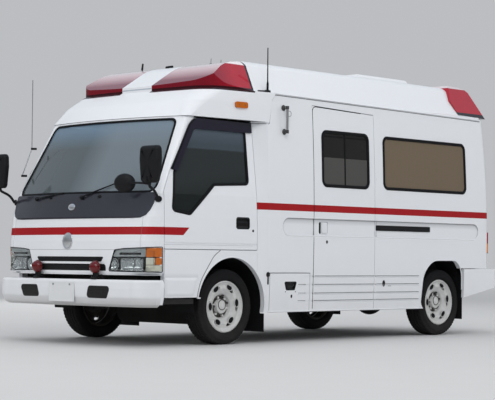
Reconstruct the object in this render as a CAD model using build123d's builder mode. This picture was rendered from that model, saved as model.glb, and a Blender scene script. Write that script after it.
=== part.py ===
import os
from math import atan2, cos, radians, sin

from build123d import *

os.makedirs("parts", exist_ok=True)

# Frame: X forward, Y to the vehicle's left, Z up, origin on the ground under the middle.
length = 4960
wheelbase = 2985
front_overhang = 1060
front_x = length / 2
rear_x = -length / 2
axle_front_x = front_x - front_overhang
axle_rear_x = axle_front_x - wheelbase

# Clearances
seat = 0.3  # a piece beside the one that carries it
gap = 6  # shut line round a door
lid_gap = 7  # shut line round the small lid, which swings on a short radius
rest_depth = 12  # thickness of the lip a door closes on
rest_lap = 20  # how far the lip reaches behind the door, and behind the panel that carries it
turn_gap = 0.5  # a pin in its bore

# Wheels
tyre_radius = 319
tyre_width = 205
tyre_centre_y = 786
rim_radius = 220
rim_width = 164
hub_z = tyre_radius
spindle_radius = 28
hub_bore = spindle_radius + turn_gap
kingpin_y = 672
kingpin_radius = 20

# Cab
wall = 45
door_front_x = 2192
door_rear_x = 1100
door_sill_z = 800
door_fold_z = 842
cab_top_z = 1905
front_panel_z = 600
windscreen_base_z = 1262
glass_inset = 6
glass_thick = 5
arch_radius = 400
arch_front_x = axle_front_x - 22
arch_z = 335

# Body
body_front_x = 970
body_rear_x = -2315
sill_z = 264
sill_half = 930
belt_z = 1100
belt_half = 946
eave_z = 2160
eave_drop = 34
eave_half = 909
rear_corner_radius = 80
rear_lean = 62
slide_rear_x = -480
lid_front_x = 936
lid_rear_x = 420
lid_low_z = 272
lid_top_z = 600
tail_low_z = 655
tail_top_z = 2085
tail_half = 785
bumper_rear_top_z = 643
floor_z = 640
floor_thick = 40
rail_top_z = floor_z - floor_thick - seat

# Roof cap
cap_wall = 30
cap_seam_z = 2165
crown_z = 2490
rear_cap_x = -2268

# Cab outline: height, front middle x, half width and x where the front arc ends,
# x where the flat side starts, half width of the side
cab_sections = (
    (395, 2385, 780, 2315, 2225, 925),
    (600, 2412, 790, 2342, 2238, 932),
    (860, 2420, 800, 2345, 2240, 935),
    (1060, 2400, 830, 2312, 2225, 933),
    (1250, 2366, 870, 2240, 2180, 925),
    (cab_top_z, 1990, 775, 1893, 1845, 848),
)


def prism_y(points, low, high, radius=0, grow=0):
    """Outline in x and z, carried across from y = low to y = high."""
    with BuildPart() as cutter:
        with BuildSketch(Plane.XZ.offset(-high)) as outline:
            with BuildLine():
                Polyline(*points, close=True)
            make_face()
            if radius:
                fillet(outline.vertices(), radius)
            if grow:
                offset(amount=grow)
        extrude(amount=high - low)
    return cutter.part


def prism_x(points, low, high, radius=0, grow=0):
    """Outline in y and z, carried from x = low to x = high."""
    with BuildPart() as cutter:
        with BuildSketch(Plane.YZ.offset(low)) as outline:
            with BuildLine():
                Polyline(*points, close=True)
            make_face()
            if radius:
                fillet(outline.vertices(), radius)
            if grow:
                offset(amount=grow)
        extrude(amount=high - low)
    return cutter.part


def block(x_low, x_high, y_low, y_high, z_low, z_high):
    """A plain box between two corners."""
    with BuildPart() as box:
        with Locations(((x_low + x_high) / 2, (y_low + y_high) / 2, (z_low + z_high) / 2)):
            Box(x_high - x_low, y_high - y_low, z_high - z_low)
    return box.part


def tube_y(x, z, radius, low, high):
    """A round bar along y."""
    with BuildPart() as bar:
        with BuildSketch(Plane.XZ.offset(-high)):
            with Locations((x, z)):
                Circle(radius)
        extrude(amount=high - low)
    return bar.part


def plan_outline(x_mid, front_half, x_front, x_side, side_half, x_back, back_half):
    """Closed plan line: bowed front, round corners, straight sides."""
    blend = 0.4
    corner_x = x_side + (x_front - x_side) * (0.5 + blend / 2)
    corner_y = front_half + (side_half - front_half) * (0.5 + blend / 2)
    ThreePointArc((x_front, -front_half), (x_mid, 0), (x_front, front_half))
    ThreePointArc((x_front, front_half), (corner_x, corner_y), (x_side, side_half))
    Polyline((x_side, side_half), (x_back, back_half), (x_back, -back_half), (x_side, -side_half))
    ThreePointArc((x_side, -side_half), (corner_x, -corner_y), (x_front, -front_half))


def cab_form(inset, x_back=door_rear_x - 60):
    """The cab's outer form, or one set in from it by inset."""
    with BuildPart() as form:
        for z, x_mid, front_half, x_front, x_side, side_half in cab_sections:
            with BuildSketch(Plane.XY.offset(z)):
                with BuildLine():
                    plan_outline(
                        x_mid - inset,
                        front_half - inset,
                        x_front - inset,
                        x_side - inset,
                        side_half - inset,
                        x_back,
                        side_half - inset,
                    )
                make_face()
        loft(ruled=True)
    return form.part


def body_half(z):
    """Half width of the body's round side at height z: the circle through its three heights."""
    rise_low, rise_high = belt_z - sill_z, eave_z - belt_z
    step_low, step_high = belt_half - sill_half, eave_half - belt_half
    area = step_low * rise_high - step_high * rise_low
    low_squares = belt_half**2 - sill_half**2 + belt_z**2 - sill_z**2
    high_squares = eave_half**2 - belt_half**2 + eave_z**2 - belt_z**2
    middle_y = (low_squares * rise_high - high_squares * rise_low) / (2 * area)
    middle_z = (step_low * high_squares - step_high * low_squares) / (2 * area)
    radius_squared = (sill_half - middle_y) ** 2 + (sill_z - middle_z) ** 2
    return middle_y + (radius_squared - (z - middle_z) ** 2) ** 0.5


def body_form(inset, low=sill_z, high=eave_z, drop=eave_drop):
    """The body behind the cab: round sides, rear face leaning in above the belt."""
    rear = body_rear_x + inset
    with BuildPart() as form:
        with BuildSketch(Plane.YZ.offset(rear)):
            with BuildLine():
                ThreePointArc(
                    (body_half(low) - inset, low),
                    (body_half(belt_z) - inset, belt_z),
                    (body_half(high) - inset, high),
                )
                Line((body_half(high) - inset, high), (inset - body_half(high), high))
                ThreePointArc(
                    (inset - body_half(high), high),
                    (inset - body_half(belt_z), belt_z),
                    (inset - body_half(low), low),
                )
                Line((inset - body_half(low), low), (body_half(low) - inset, low))
            make_face()
        extrude(amount=body_front_x - rear)
        with BuildSketch(Plane.XZ.offset(-1100)):
            with BuildLine():
                Polyline(
                    (rear + rear_lean, high - drop),
                    (body_front_x, high),
                    (body_front_x, low),
                    (rear, low),
                    (rear, belt_z),
                )
                middle = (belt_z + high - drop) / 2
                ThreePointArc((rear, belt_z), (rear + rear_lean * 0.27, middle), (rear + rear_lean, high - drop))
            make_face()
        extrude(amount=2200, mode=Mode.INTERSECT)
        corners = form.edges().filter_by(
            lambda e: e.bounding_box().size.Z > 300 and e.center().X < rear + 80
        )
        fillet(corners, rear_corner_radius - inset)
    return form.part


def flare_form(inset):
    """The short stretch that widens from the cab's section to the body's."""
    low, middle, knee, upper, top = sill_z, 860, 1250, 1580, cab_top_z
    with BuildPart() as form:
        for x, halves in (
            (body_front_x, [body_half(z) for z in (low, middle, knee, upper, top)]),
            (door_rear_x - gap, [921, 935, 925, 887, 848]),
        ):
            a, b, c, e, d = [half - inset for half in halves]
            with BuildSketch(Plane.YZ.offset(x)):
                with BuildLine():
                    ThreePointArc((a, low), (b, middle), (c, knee))
                    ThreePointArc((c, knee), (e, upper), (d, top))
                    Line((d, top), (-d, top))
                    ThreePointArc((-d, top), (-e, upper), (-c, knee))
                    ThreePointArc((-c, knee), (-b, middle), (-a, low))
                    Line((-a, low), (a, low))
                make_face()
        loft(ruled=True)
    return form.part


# Roof cap outline over the cab: height, front middle x, half width and x where the front
# arc ends, x where the side starts, half width there, half width at the step
forehead_sections = (
    (cab_top_z + seat, 1996, 782, 1898, 1850, 866, 938),
    (2050, 1846, 712, 1788, 1640, 873, 934),
    (cap_seam_z, 1662, 640, 1632, 1400, 878, 930),
)
forehead_back_x = 860


def forehead_form(inset):
    """The slope from the windscreen up to the beacons, and the cap's sides over the cab."""
    with BuildPart() as form:
        for z, x_mid, front_half, x_front, x_side, side_half, back_half in forehead_sections:
            with BuildSketch(Plane.XY.offset(z)):
                with BuildLine():
                    plan_outline(
                        x_mid - inset * 1.4,
                        front_half - inset,
                        x_front - inset * 1.4,
                        x_side - inset,
                        side_half - inset,
                        forehead_back_x - inset,
                        back_half - inset,
                    )
                make_face()
        loft(ruled=True)
    return form.part


brow_z = 2212


def dome_form(inset, low=eave_z - eave_drop):
    """The raised roof: side profile, cross section and plan in one."""
    side_z = 2400 - inset
    crown = crown_z - inset
    with BuildPart() as form:
        with BuildSketch(Plane.YZ.offset(rear_x)):
            with BuildLine():
                Polyline((-912 + inset, low), (912 - inset, low), (912 - inset, 2150))
                Line((912 - inset, 2150), (890 - inset, cap_seam_z))
                Line((890 - inset, cap_seam_z), (748 - inset, side_z))
                ThreePointArc((748 - inset, side_z), (692 - inset, side_z + 36), (600, crown - 34))
                ThreePointArc((600, crown - 34), (0, crown), (-600, crown - 34))
                ThreePointArc((-600, crown - 34), (inset - 692, side_z + 36), (inset - 748, side_z))
                Line((inset - 748, side_z), (inset - 890, cap_seam_z))
                Line((inset - 890, cap_seam_z), (inset - 912, 2150))
                Line((inset - 912, 2150), (inset - 912, low))
            make_face()
        extrude(amount=length)
        with BuildSketch(Plane.XZ.offset(-1000)):
            with BuildLine():
                Polyline((rear_cap_x + inset, low), (1662 - inset, low), (1662 - inset, cap_seam_z))
                Line((1662 - inset, cap_seam_z), (1656 - inset, brow_z))
                Line((1656 - inset, brow_z), (1400 - inset, 2366 - inset))
                ThreePointArc((1400 - inset, 2366 - inset), (1305, 2404 - inset), (1200, 2425 - inset))
                ThreePointArc((1200, 2425 - inset), (850, 2466 - inset), (450, crown))
                ThreePointArc((450, crown), (-900, crown - 16), (-2110, crown - 62))
                Line((-2110, crown - 62), (rear_cap_x + inset, low))
            make_face()
        extrude(amount=2000, mode=Mode.INTERSECT)
        with BuildSketch(Plane.XY.offset(low)) as plan:
            with BuildLine():
                plan_outline(
                    1655 - inset,
                    600 - inset,
                    1628 - inset,
                    1385 - inset,
                    868 - inset,
                    forehead_back_x,
                    912 - inset,
                )
            make_face()
            with BuildLine():
                back_half = 912 - inset
                Polyline(
                    (forehead_back_x, back_half),
                    (rear_cap_x + inset, back_half),
                    (rear_cap_x + inset, -back_half),
                    (forehead_back_x, -back_half),
                    close=True,
                )
            make_face()
            fillet(plan.vertices().sort_by(Axis.X)[:2], 150 - inset)
        extrude(amount=600, mode=Mode.INTERSECT)
    return form.part


cab_outer = cab_form(0)
cab_inner = cab_form(wall)
body_outer = body_form(0)
body_inner = body_form(wall)
flare_outer = flare_form(0)
flare_inner = flare_form(wall)
forehead_outer = forehead_form(0)
forehead_inner = forehead_form(cap_wall)
dome_outer = dome_form(0)
dome_inner = dome_form(cap_wall)

door_line = (
    (door_rear_x, door_sill_z),
    (door_front_x, door_sill_z),
    (door_front_x, 1262),
    (2110, 1425),
    (1850, 1835),
    (1780, 1893),
    (door_rear_x, 1893),
)
door_window = (
    (2101, 1114),
    (2065, 1425),
    (1815, 1820),
    (1190, 1820),
    (1195, 1360),
    (1608, 1340),
    (1902, 1087),
)
windscreen_line = (
    (-862, windscreen_base_z),
    (862, windscreen_base_z),
    (768, 1880),
    (-768, 1880),
)
lamp_line = ((482, 612), (965, 606), (965, 806), (640, 800), (545, 792))
rear_arch_line = (
    (-1185, 240),
    (-1225, 600),
    (-1370, 727),
    (-1760, 727),
    (-1845, 620),
    (-1866, 240),
)
slide_line = ((370, 268), (370, 2090), (slide_rear_x, 2062), (slide_rear_x, 268))
lid_line = ((lid_rear_x, lid_low_z), (lid_front_x, lid_low_z), (lid_front_x, lid_top_z), (lid_rear_x, lid_top_z))
window_front_line = ((-392, 1385), (250, 1385), (250, 1872), (-392, 1872))
window_rear_line = ((-1900, 1390), (-620, 1390), (-620, 1866), (-1890, 1864))
tail_line = ((-tail_half, tail_low_z), (tail_half, tail_low_z), (tail_half, tail_top_z), (-tail_half, tail_top_z))
tail_window_line = ((-610, 1350), (610, 1350), (580, 1860), (-580, 1860))

with BuildPart() as hull:
    add(cab_outer)
    add(flare_outer)
    add(body_outer)
    add(cab_inner, mode=Mode.SUBTRACT)
    add(flare_inner, mode=Mode.SUBTRACT)
    add(body_inner, mode=Mode.SUBTRACT)
shell = hull.part


def rest_lip(form, outer, inner):
    """A lip behind a shut line, fused to the panel outside the line: form gives the surface
    at an inset, outer and inner are cutters round the whole lip and round what stays free."""
    with BuildPart() as lip:
        add(form(wall + seat))
        add(form(wall + rest_depth), mode=Mode.SUBTRACT)
        add(outer, mode=Mode.INTERSECT)
        add(inner, mode=Mode.SUBTRACT)
    return lip.part


def rest_root(form, outer, line):
    """The strip that joins a lip to its panel, outside the shut line."""
    with BuildPart() as root:
        add(form(wall - 8))
        add(form(wall + rest_depth), mode=Mode.SUBTRACT)
        add(outer, mode=Mode.INTERSECT)
        add(line, mode=Mode.SUBTRACT)
    return root.part


def lip_pair(form, line, space, low, high):
    """Lip and root behind one shut line between y = low and y = high."""
    outer = prism_y(line, low, high, 0, rest_lap)
    return (
        rest_lip(form, outer, prism_y(line, low, high, 0, -rest_lap)),
        rest_root(form, outer, prism_y(line, low, high, 0, space)),
    )


def keep(piece, label):
    """Names a finished piece and writes it."""
    piece.part.label = label
    export_step(piece.part, "parts/" + label + ".step")


def keep_pair(left, label):
    """Writes a left piece and its mirror image on the right."""
    with BuildPart() as right:
        mirror(left.part, about=Plane.XZ)
    keep(left, label + "_left")
    keep(right, label + "_right")


def pocket(form, points, low, high, radius=0):
    """A shallow recess: its outline in x and z, and the surface its floor lies on."""
    with BuildPart() as cutter:
        add(prism_y(points, low, high, radius))
        add(form, mode=Mode.SUBTRACT)
    return cutter.part


# Pressed shapes of the sides: the long stadium, the ribs low down, and the handle recesses
stadium_depth, rib_depth, cup_depth = 8, 4, 15
stadium_line = ((-2110, 930), (782, 930), (782, 1086), (-2110, 1086))
rib_heights = (570, 495, 419, 352)
rib_rear_x, rib_front_x, rib_size = -1160, 500, 9
slide_cup_line = ((176, 950), (300, 950), (300, 1060), (176, 1060))
lid_cup_line = ((593, 526), (750, 526), (726, 455), (617, 455))
door_cup_line = ((1193, 977), (1354, 977), (1354, 1073), (1193, 1073))
stadium_floor = body_form(stadium_depth)
rib_floor = body_form(rib_depth)
cup_floor = body_form(cup_depth)
door_cup_floor = cab_form(cup_depth)
fold_floor = cab_form(rib_depth)
fold_line = (
    (door_rear_x - 20, door_fold_z),
    (door_front_x + 20, door_fold_z),
    (door_front_x + 20, door_fold_z + rib_size),
    (door_rear_x - 20, door_fold_z + rib_size),
)


def press_side(low, high):
    """Cuts the pressed shapes of one side out of the panel being built."""
    add(pocket(stadium_floor, stadium_line, low, high, 77), mode=Mode.SUBTRACT)
    for z in rib_heights:
        line = ((rib_rear_x, z), (rib_front_x, z), (rib_front_x, z + rib_size), (rib_rear_x, z + rib_size))
        add(pocket(rib_floor, line, low, high), mode=Mode.SUBTRACT)


# Cab front: front panel, windscreen frame and pillars
front_region = (
    (door_front_x + gap, front_panel_z),
    (front_x, front_panel_z),
    (front_x, cab_top_z + 10),
    (1780, cab_top_z + 10),
    (1780 + gap, 1893 + gap),
    (1855, 1838),
    (2115, 1428),
    (door_front_x + gap, 1264),
)
# Grille slots: low and high edge, half width at each
slots = ((697, 727, 405, 424), (630, 672, 424, 438))


def slot_line(low, high, half_low, half_high):
    """Outline of one grille slot in y and z."""
    return ((-half_low, low), (half_low, low), (half_high, high), (-half_high, high))


with BuildPart() as cab_front:
    add(shell)
    add(prism_y(front_region, -1000, 1000), mode=Mode.INTERSECT)
    add(prism_x(windscreen_line, 1700, 2600, 60), mode=Mode.SUBTRACT)
    for side in (1, -1):
        line = [(side * y, z) for y, z in lamp_line]
        add(prism_x(line, 2239, 2600, 18, 1), mode=Mode.SUBTRACT)
    for slot in slots:
        add(prism_x(slot_line(*slot), 2250, 2500), mode=Mode.SUBTRACT)
keep(cab_front, "cab_front")

cowl_edge = ((700, 1046), (786, 1050), (838, 1072), (868, 1112), (884, 1170), (888, 1258))
with BuildPart() as cowl_panel:
    add(cab_form(-3))
    add(cab_form(-seat), mode=Mode.SUBTRACT)
    add(
        prism_x(
            [(side * y, z) for side in (1, -1) for y, z in cowl_edge[::side]], 2100, 2500, 24
        ),
        mode=Mode.INTERSECT,
    )
keep(cowl_panel, "cowl_panel")

with BuildPart() as windscreen:
    add(cab_form(glass_inset))
    add(cab_form(glass_inset + glass_thick), mode=Mode.SUBTRACT)
    add(prism_x(windscreen_line, 1700, 2600, 60, -seat), mode=Mode.INTERSECT)
keep(windscreen, "windscreen")

with BuildPart() as headlamps:
    add(cab_outer)
    add(cab_form(wall - 5), mode=Mode.SUBTRACT)
    with BuildPart(mode=Mode.PRIVATE) as lamp_cut:
        for side in (1, -1):
            add(prism_x([(side * y, z) for y, z in lamp_line], 2239 + seat, 2600, 18, 1 - seat))
    add(lamp_cut.part, mode=Mode.INTERSECT)
keep(headlamps, "headlamps")

with BuildPart() as grille:
    add(cab_form(16))
    add(cab_form(24), mode=Mode.SUBTRACT)
    with BuildPart(mode=Mode.PRIVATE) as slot_cut:
        for slot in slots:
            add(prism_x(slot_line(*slot), 2250, 2500, 0, -seat))
    add(slot_cut.part, mode=Mode.INTERSECT)
keep(grille, "grille")

# Side doors of the cab and their glass
with BuildPart() as door_left:
    add(shell)
    add(prism_y(door_line, 700, 1100, 12), mode=Mode.INTERSECT)
    add(prism_y(door_window, 700, 1100, 36), mode=Mode.SUBTRACT)
    add(pocket(door_cup_floor, door_cup_line, 700, 1100, 20), mode=Mode.SUBTRACT)
    add(pocket(fold_floor, fold_line, 700, 1100), mode=Mode.SUBTRACT)
with BuildPart() as glass_left:
    add(cab_form(glass_inset))
    add(cab_form(glass_inset + glass_thick), mode=Mode.SUBTRACT)
    add(prism_y(door_window, 700, 1100, 36, -seat), mode=Mode.INTERSECT)
keep_pair(door_left, "door")
keep_pair(glass_left, "glass_door")

# Body sides
side_region = (
    (-2400, 2300),
    (868, 2300),
    (868, 2158),
    (909, 2100),
    (948, cab_top_z),
    (door_rear_x - gap, cab_top_z),
    (door_rear_x - gap, door_sill_z - gap),
    (door_front_x - gap, door_sill_z - gap),
    (door_front_x - gap, 402),
    (1420, 402),
    (1420, 240),
    (-1600, 240),
    (-1600, 400),
    (-1800, bumper_rear_top_z + gap),
    (-2400, bumper_rear_top_z + gap),
)
side_inner_y = tail_half + gap
# Of the lip round a cab door, the rear post and the sill belong to the body side
door_rest_region = (
    (door_rear_x - 40, door_sill_z - 35),
    (2150, door_sill_z - 35),
    (2150, door_sill_z + 40),
    (door_rear_x + 40, door_sill_z + 40),
    (door_rear_x + 40, cab_top_z - 6),
    (door_rear_x - 40, cab_top_z - 6),
)
tail_outer = prism_x(tail_line, -2400, -2190, 0, rest_lap)
tail_lips = (
    rest_lip(body_form, tail_outer, prism_x(tail_line, -2400, -2190, 0, -rest_lap)),
    rest_root(body_form, tail_outer, prism_x(tail_line, -2400, -2190, 0, gap)),
)
with BuildPart() as side_lips:
    door_side = prism_y(door_rest_region, side_inner_y, 1100)
    for lip in lip_pair(cab_form, door_line, gap, side_inner_y, 1100):
        add(lip.intersect(door_side))
    tail_side = block(-2400, -2190, 700, 820, 680, tail_top_z - rest_lap - 1)
    for lip in tail_lips:
        add(lip.intersect(tail_side))
# The right side is built up of panels that butt together at these stations
panel_joints_x = (960, 370, -500)
for side, hand in ((1, "left"), (-1, "right")):
    low, high = (side_inner_y, 1100) if side > 0 else (-1100, -side_inner_y)
    with BuildPart() as panel:
        add(shell)
        add(prism_y(side_region, low, high), mode=Mode.INTERSECT)
        add(tube_y(arch_front_x, arch_z, arch_radius, low, high), mode=Mode.SUBTRACT)
        add(prism_y(rear_arch_line, low, high, 110), mode=Mode.SUBTRACT)
        add(prism_y(window_rear_line, low, high, 55), mode=Mode.SUBTRACT)
        press_side(low, high)
        if side > 0:
            add(prism_y(slide_line, low, high, 0, gap), mode=Mode.SUBTRACT)
            add(prism_y(lid_line, low, high, 0, lid_gap), mode=Mode.SUBTRACT)
            for line, space in ((slide_line, gap), (lid_line, lid_gap)):
                for lip in lip_pair(body_form, line, space, low, high):
                    add(lip)
        else:
            add(prism_y(window_front_line, low, high, 55), mode=Mode.SUBTRACT)
        if side > 0:
            add(side_lips.part)
        else:
            add(mirror(side_lips.part, about=Plane.XZ))
            for x in panel_joints_x:
                add(block(x - seat / 2, x + seat / 2, low, high, 200, 2300), mode=Mode.SUBTRACT)
    keep(panel, "side_" + hand)

with BuildPart() as door_slide:
    add(shell)
    add(prism_y(slide_line, side_inner_y, 1100), mode=Mode.INTERSECT)
    add(prism_y(window_front_line, side_inner_y, 1100, 55), mode=Mode.SUBTRACT)
    press_side(side_inner_y, 1100)
    add(pocket(cup_floor, slide_cup_line, side_inner_y, 1100, 20), mode=Mode.SUBTRACT)
keep(door_slide, "door_slide")

with BuildPart() as utility_lid:
    add(shell)
    add(prism_y(lid_line, side_inner_y, 1100, 12), mode=Mode.INTERSECT)
    press_side(side_inner_y, 1100)
    add(pocket(cup_floor, lid_cup_line, side_inner_y, 1100, 10), mode=Mode.SUBTRACT)
keep(utility_lid, "utility_lid")

# Black cover over the sliding door's rail, in the stadium behind the door
rail_cover_line = ((-1322, 995), (-502, 995), (-502, 1045), (-1322, 1045))
with BuildPart() as slide_rail:
    add(body_form(1))
    add(body_form(stadium_depth - seat), mode=Mode.SUBTRACT)
    add(prism_y(rail_cover_line, 700, 1100, 8), mode=Mode.INTERSECT)
keep(slide_rail, "slide_rail")

pane_outer = body_form(4)
pane_inner = body_form(9)
with BuildPart() as side_glass:
    add(pane_outer)
    add(pane_inner, mode=Mode.SUBTRACT)
    with BuildPart(mode=Mode.PRIVATE) as panes:
        add(prism_y(window_rear_line, 600, 1100, 55, -seat))
        add(prism_y(window_rear_line, -1100, -600, 55, -seat))
        add(prism_y(window_front_line, 600, 1100, 55, -seat))
        add(prism_y(window_front_line, -1100, -600, 55, -seat))
    add(panes.part, mode=Mode.INTERSECT)
keep(side_glass, "side_glass")

# Tailgate
tail_cup_line = ((-150, 790), (150, 790), (150, 880), (-150, 880))
with BuildPart() as tailgate:
    add(shell)
    add(prism_x(tail_line, -2400, -2190, 30), mode=Mode.INTERSECT)
    add(prism_x(tail_window_line, -2400, -2190, 60), mode=Mode.SUBTRACT)
    add(prism_x(tail_cup_line, -2400, body_rear_x + cup_depth, 16), mode=Mode.SUBTRACT)
keep(tailgate, "tailgate")

with BuildPart() as tailgate_glass:
    add(pane_outer)
    add(pane_inner, mode=Mode.SUBTRACT)
    add(prism_x(tail_window_line, -2400, -2190, 60, -seat), mode=Mode.INTERSECT)
keep(tailgate_glass, "tailgate_glass")

# Roof cap, with the places of the two front beacons cut out
step_line = ((952, 1900), (913, 2102), (871, 2161), (700, 2161), (700, 1900))
eave_line = (
    (body_rear_x + rear_lean - 100, eave_z - eave_drop + seat),
    (body_rear_x + rear_lean, eave_z - eave_drop + seat),
    (871, eave_z + seat),
    (871, 1900),
    (body_rear_x + rear_lean - 100, 1900),
)
lens_inner_y = 188
lens_low_z = 2150
lens_line = ((1110, lens_low_z), (1800, lens_low_z), (1800, 2440), (1055, 2440))
with BuildPart() as lens_cut:
    add(prism_y(lens_line, lens_inner_y, 1000))
    add(prism_y(lens_line, -1000, -lens_inner_y))
with BuildPart() as lens_fit:
    add(prism_y(lens_line, lens_inner_y + seat, 1000, 0, -seat))
    add(prism_y(lens_line, -1000, -lens_inner_y - seat, 0, -seat))
with BuildPart() as cap_form:
    add(forehead_outer)
    add(dome_outer)
    add(prism_y(step_line, -1000, 1000), mode=Mode.SUBTRACT)
    add(prism_y(eave_line, -1000, 1000), mode=Mode.SUBTRACT)
    add(forehead_inner, mode=Mode.SUBTRACT)
    add(dome_inner, mode=Mode.SUBTRACT)
vent_x, vent_length, vent_width, vent_top_z = -1380, 780, 620, 2543
with BuildPart() as roof_cap:
    add(cap_form.part)
    add(lens_cut.part, mode=Mode.SUBTRACT)
    with Locations((vent_x, 0, (crown_z - 60 + vent_top_z) / 2)):
        vent = Box(vent_length, vent_width, vent_top_z - crown_z + 60)
    fillet(vent.edges().group_by(Axis.Z)[-1], 40)
keep(roof_cap, "roof_cap")
with BuildPart() as beacons_front:
    add(cap_form.part)
    add(lens_fit.part, mode=Mode.INTERSECT)
keep(beacons_front, "beacons_front")
rear_lens_top = 2474
with BuildPart() as rear_lens_form:
    for side in (1, -1):
        low, high = (300, 906) if side > 0 else (-906, -300)
        with BuildSketch(Plane.XZ.offset(-high)):
            with BuildLine():
                Polyline(
                    (-1790, 2300),
                    (-1850, rear_lens_top - 30),
                    (-1920, rear_lens_top),
                    (-2080, rear_lens_top - 10),
                    (-2160, rear_lens_top - 60),
                    (-2277, 2150),
                    (-1840, 2168),
                    close=True,
                )
            make_face()
        extrude(amount=high - low)
    add(
        prism_x(((-906, 2150), (906, 2150), (765, 2440), (640, 2500), (-640, 2500), (-765, 2440)), rear_x, 0),
        mode=Mode.INTERSECT,
    )
with BuildPart() as beacons_rear:
    add(rear_lens_form.part)
    add(dome_form(-seat), mode=Mode.SUBTRACT)
keep(beacons_rear, "beacons_rear")

# Side marker lamps on the flanks of the roof cap
marker_x, marker_z, marker_long, marker_tall, marker_deep = 1280, 2032, 140, 52, 15
marker_seat = seat + 0.1


def flank_half(x, section):
    """Half width of the cap's flank over the cab at x, on one line of its sections."""
    x_side, side_half, back_half = section[4:]
    return side_half + (x_side - x) * (back_half - side_half) / (x_side - forehead_back_x)


flank_low, flank_high = forehead_sections[:2]
flank_y = flank_half(marker_x, flank_high)
flank_rise = (flank_y - flank_half(marker_x, flank_low)) / (flank_high[0] - flank_low[0])
flank_turn = flank_half(marker_x + 1, flank_high) - flank_y
marker_y = flank_y + flank_rise * (marker_z - flank_high[0]) + marker_seat
with BuildPart() as marker_lamps:
    for side in (1, -1):
        flank_plane = Plane(
            origin=(marker_x, side * marker_y, marker_z),
            x_dir=(1, side * flank_turn, 0),
            z_dir=(-flank_turn, side, -flank_rise),
        )
        with BuildSketch(flank_plane):
            RectangleRounded(marker_long, marker_tall, 16)
        extrude(amount=marker_deep)
keep(marker_lamps, "marker_lamps")

# Rear frame: header over the tailgate and sill under it
with BuildPart() as rear_frame:
    add(shell)
    add(
        block(-2400, -2190, seat - side_inner_y, side_inner_y - seat, rail_top_z + seat, eave_z),
        mode=Mode.INTERSECT,
    )
    add(prism_x(tail_line, -2400, -2190, 0, gap), mode=Mode.SUBTRACT)
    header = block(-2400, -2190, 30 - tail_half, tail_half - 30, tail_top_z - 40, tail_top_z + 40)
    for lip in tail_lips:
        add(lip.intersect(header))
keep(rear_frame, "rear_frame")

# Bumpers: height, front middle x, half width and x where the front arc ends, side x, side half
bumper_top_z = 545
bumper_sections = (
    (325, 2424, 762, 2372, 2268, 918),
    (345, 2452, 774, 2400, 2288, 944),
    (400, 2475, 780, 2425, 2300, 958),
    (470, front_x, 780, 2430, 2302, 960),
    (527, 2478, 780, 2428, 2301, 959),
    (bumper_top_z, 2464, 773, 2414, 2293, 948),
)
bumper_back_x = 2248


def bumper_form(inset):
    """The front bumper's outer form, or one set in from it."""
    with BuildPart() as form:
        for z, x_mid, front_half, x_front, x_side, side_half in bumper_sections:
            with BuildSketch(Plane.XY.offset(z)):
                with BuildLine():
                    plan_outline(
                        x_mid - inset,
                        front_half - inset,
                        x_front - inset,
                        x_side - inset,
                        side_half - inset,
                        bumper_back_x - 2 * inset,
                        side_half - inset,
                    )
                make_face()
        loft(ruled=True)
    return form.part


bumper_wall = 55
fog_line = ((345, 488), (530, 488), (500, 394), (372, 394))
with BuildPart() as bumper_front:
    add(bumper_form(0))
    add(bumper_form(bumper_wall), mode=Mode.SUBTRACT)
    for side in (1, -1):
        add(prism_x([(side * y, z) for y, z in fog_line], 2430, 2500, 14), mode=Mode.SUBTRACT)
keep(bumper_front, "bumper_front")

bumper_sheet = 30
bumper_rear_line = (
    (-1870, 363),
    (-2380, 455),
    (-2440, 500),
    (rear_x, 560),
    (rear_x, bumper_rear_top_z),
    (-1878, bumper_rear_top_z),
)
with BuildPart() as bumper_rear:
    with BuildSketch(Plane.XY.offset(350)) as plan:
        with BuildLine():
            Polyline((-1800, 948), (rear_x, 948), (rear_x, -948), (-1800, -948), close=True)
        make_face()
        fillet(plan.vertices().sort_by(Axis.X)[:2], 110)
    extrude(amount=400)
    add(prism_y(bumper_rear_line, -1000, 1000), mode=Mode.INTERSECT)
    add(block(body_rear_x - gap, -1500, -918, 918, 300, 700), mode=Mode.SUBTRACT)
    add(
        block(rear_x + bumper_sheet, -1500, -918, 918, 300, bumper_rear_top_z - bumper_sheet), mode=Mode.SUBTRACT
    )
keep(bumper_rear, "bumper_rear")

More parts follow.
